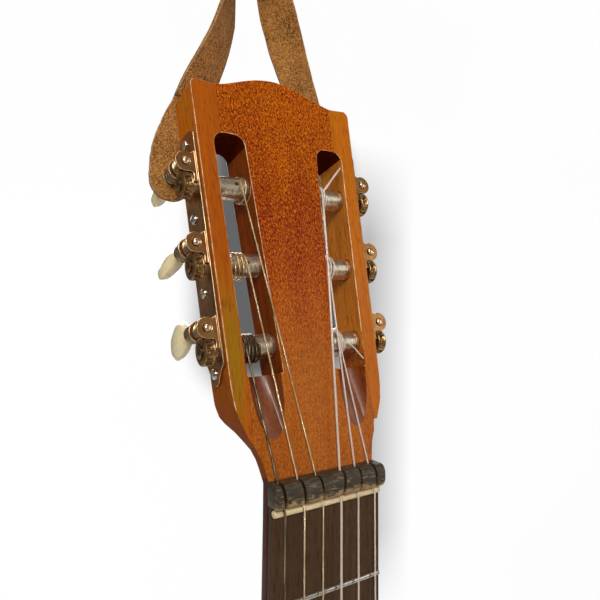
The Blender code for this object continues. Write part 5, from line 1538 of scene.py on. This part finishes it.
def wall_paint():
    """White that lights itself, with two soft grey shades, seen only from the front."""
    shade = Shade("wall_paint")
    clouds = shade.spread(shade.noise(3.0, 3), 0.98, 1.0)

    def away(axis, middle):
        return shade.math("ABSOLUTE", shade.minus(shade.axis(axis), middle))

    squares = []
    for axis, middle, half in zip("XZ", WALL_SHADOW, WALL_SHADOW_HALF):
        past = shade.math("MAXIMUM", shade.minus(away(axis, middle), half), 0.0)
        squares.append(shade.times(past, past))
    start, full = WALL_SHADOW_EDGE
    inside = shade.node("ShaderNodeMapRange", {0: shade.math("SQRT", shade.plus(*squares)),
                                               1: start, 2: full},
                        interpolation_type="SMOOTHSTEP").outputs[0]
    band = shade.times(*[shade.ramp(away(axis, middle), *edges)
                         for axis, middle, edges in zip("XZ", WALL_BAND, WALL_BAND_EDGES)])
    lit = shade.times(shade.minus(1.0, shade.times(inside, WALL_SHADOW_DEPTH)),
                      shade.minus(1.0, shade.times(band, WALL_BAND_DEPTH)))
    glow = shade.node("ShaderNodeEmission", {0: shade.times(lit, clouds), 1: 1.0}).outputs[0]
    behind = shade.node("ShaderNodeNewGeometry").outputs["Backfacing"]
    clear = shade.node("ShaderNodeBsdfTransparent").outputs[0]
    choice = shade.node("ShaderNodeMixShader", {0: behind, 1: glow, 2: clear})
    shade.tree.links.new(choice.outputs[0], shade.tree.nodes["Material Output"].inputs[0])
    return shade.material


def floor_paint():
    shade = Shade("floor_paint", Roughness=0.9)
    tone = shade.spread(shade.noise(4.0, 3), 0.0, 1.0)
    return shade.finish(shade.mix(tone, (0.86, 0.86, 0.85), (0.90, 0.90, 0.89)))


def build_stage():
    wall = add_plane("wall", [(x, WALL_Y, z) for x, z in (
        (-3, FLOOR_Z), (3, FLOOR_Z), (3, 2.5), (-3, 2.5))], wall_paint())
    for ray in ("shadow", "diffuse", "glossy", "transmission"):
        setattr(wall, "visible_" + ray, False)
    add_plane("floor", [(x, y, FLOOR_Z) for x, y in ((-4, -4), (4, -4), (4, 4), (-4, 4))],
              floor_paint())


LIGHTS = (                   # name, place, target, size, power in watts, colour
    ("key", (-0.75, -1.25, 0.70), (0, 0, -0.17), 0.6, 17, (1.0, 0.985, 0.96)),
    ("fill", (1.3, -1.1, 0.1), (0, 0, -0.2), 1.2, 5, (0.97, 0.98, 1.0)),
    ("top", (-0.2, -0.2, 1.3), (0, 0, -0.2), 0.8, 5, (1, 1, 1)),
    ("behind", (0.6, 1.8, 0.7), (0, 0, -0.4), 1.4, 30, (1, 1, 1)),
)
ROOM_COLOUR = (1.0, 0.95, 0.88, 1)
ROOM_STRENGTH = 0.16


def build_lights():
    for name, place, target, size, power, colour in LIGHTS:
        light = bpy.data.lights.new(name, "AREA")
        light.shape = "RECTANGLE"
        light.size = light.size_y = size
        light.energy = power
        light.color = colour
        obj = linked(name, light)
        obj.location = place
        obj.rotation_euler = (Vector(target) - Vector(place)).to_track_quat("-Z", "Y").to_euler()
    world = bpy.data.worlds.new("room")
    world.use_nodes = True
    background = world.node_tree.nodes["Background"]
    background.inputs[0].default_value = ROOM_COLOUR
    background.inputs[1].default_value = ROOM_STRENGTH
    bpy.context.scene.world = world


CAMERA_PLACE = (-0.1237, -0.2419, -0.1671)
CAMERA_TURN = (math.pi / 2 - 0.027, -0.006, -0.568)
CAMERA_LENS = 32.03
CAMERA_SHIFT = (-0.00625, 0.00817)


def build_camera():
    data = bpy.data.cameras.new("camera")
    data.sensor_width = 36
    data.lens = CAMERA_LENS
    data.shift_x, data.shift_y = CAMERA_SHIFT
    data.clip_start = 0.01
    obj = linked("camera", data)
    obj.location = CAMERA_PLACE
    obj.rotation_euler = CAMERA_TURN
    bpy.context.scene.camera = obj
    bpy.context.scene.view_settings.view_transform = "Standard"


def dress_frame():
    """Materials for the frame's nodes that are shown as they are."""
    for name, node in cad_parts.items():
        inner = any(word in name for word in ("block", "lining", "brac"))
        if inner or name == "heel_cap":
            node.data.materials.clear()
            node.data.materials.append(MATERIAL["inner_wood" if inner else "ebony"])


def main():
    build_head()
    build_machines()
    build_strings()
    build_nut()
    build_board()
    build_body()
    build_bridge()
    build_strap()
    dress_frame()
    build_stage()
    build_lights()
    build_camera()


main()
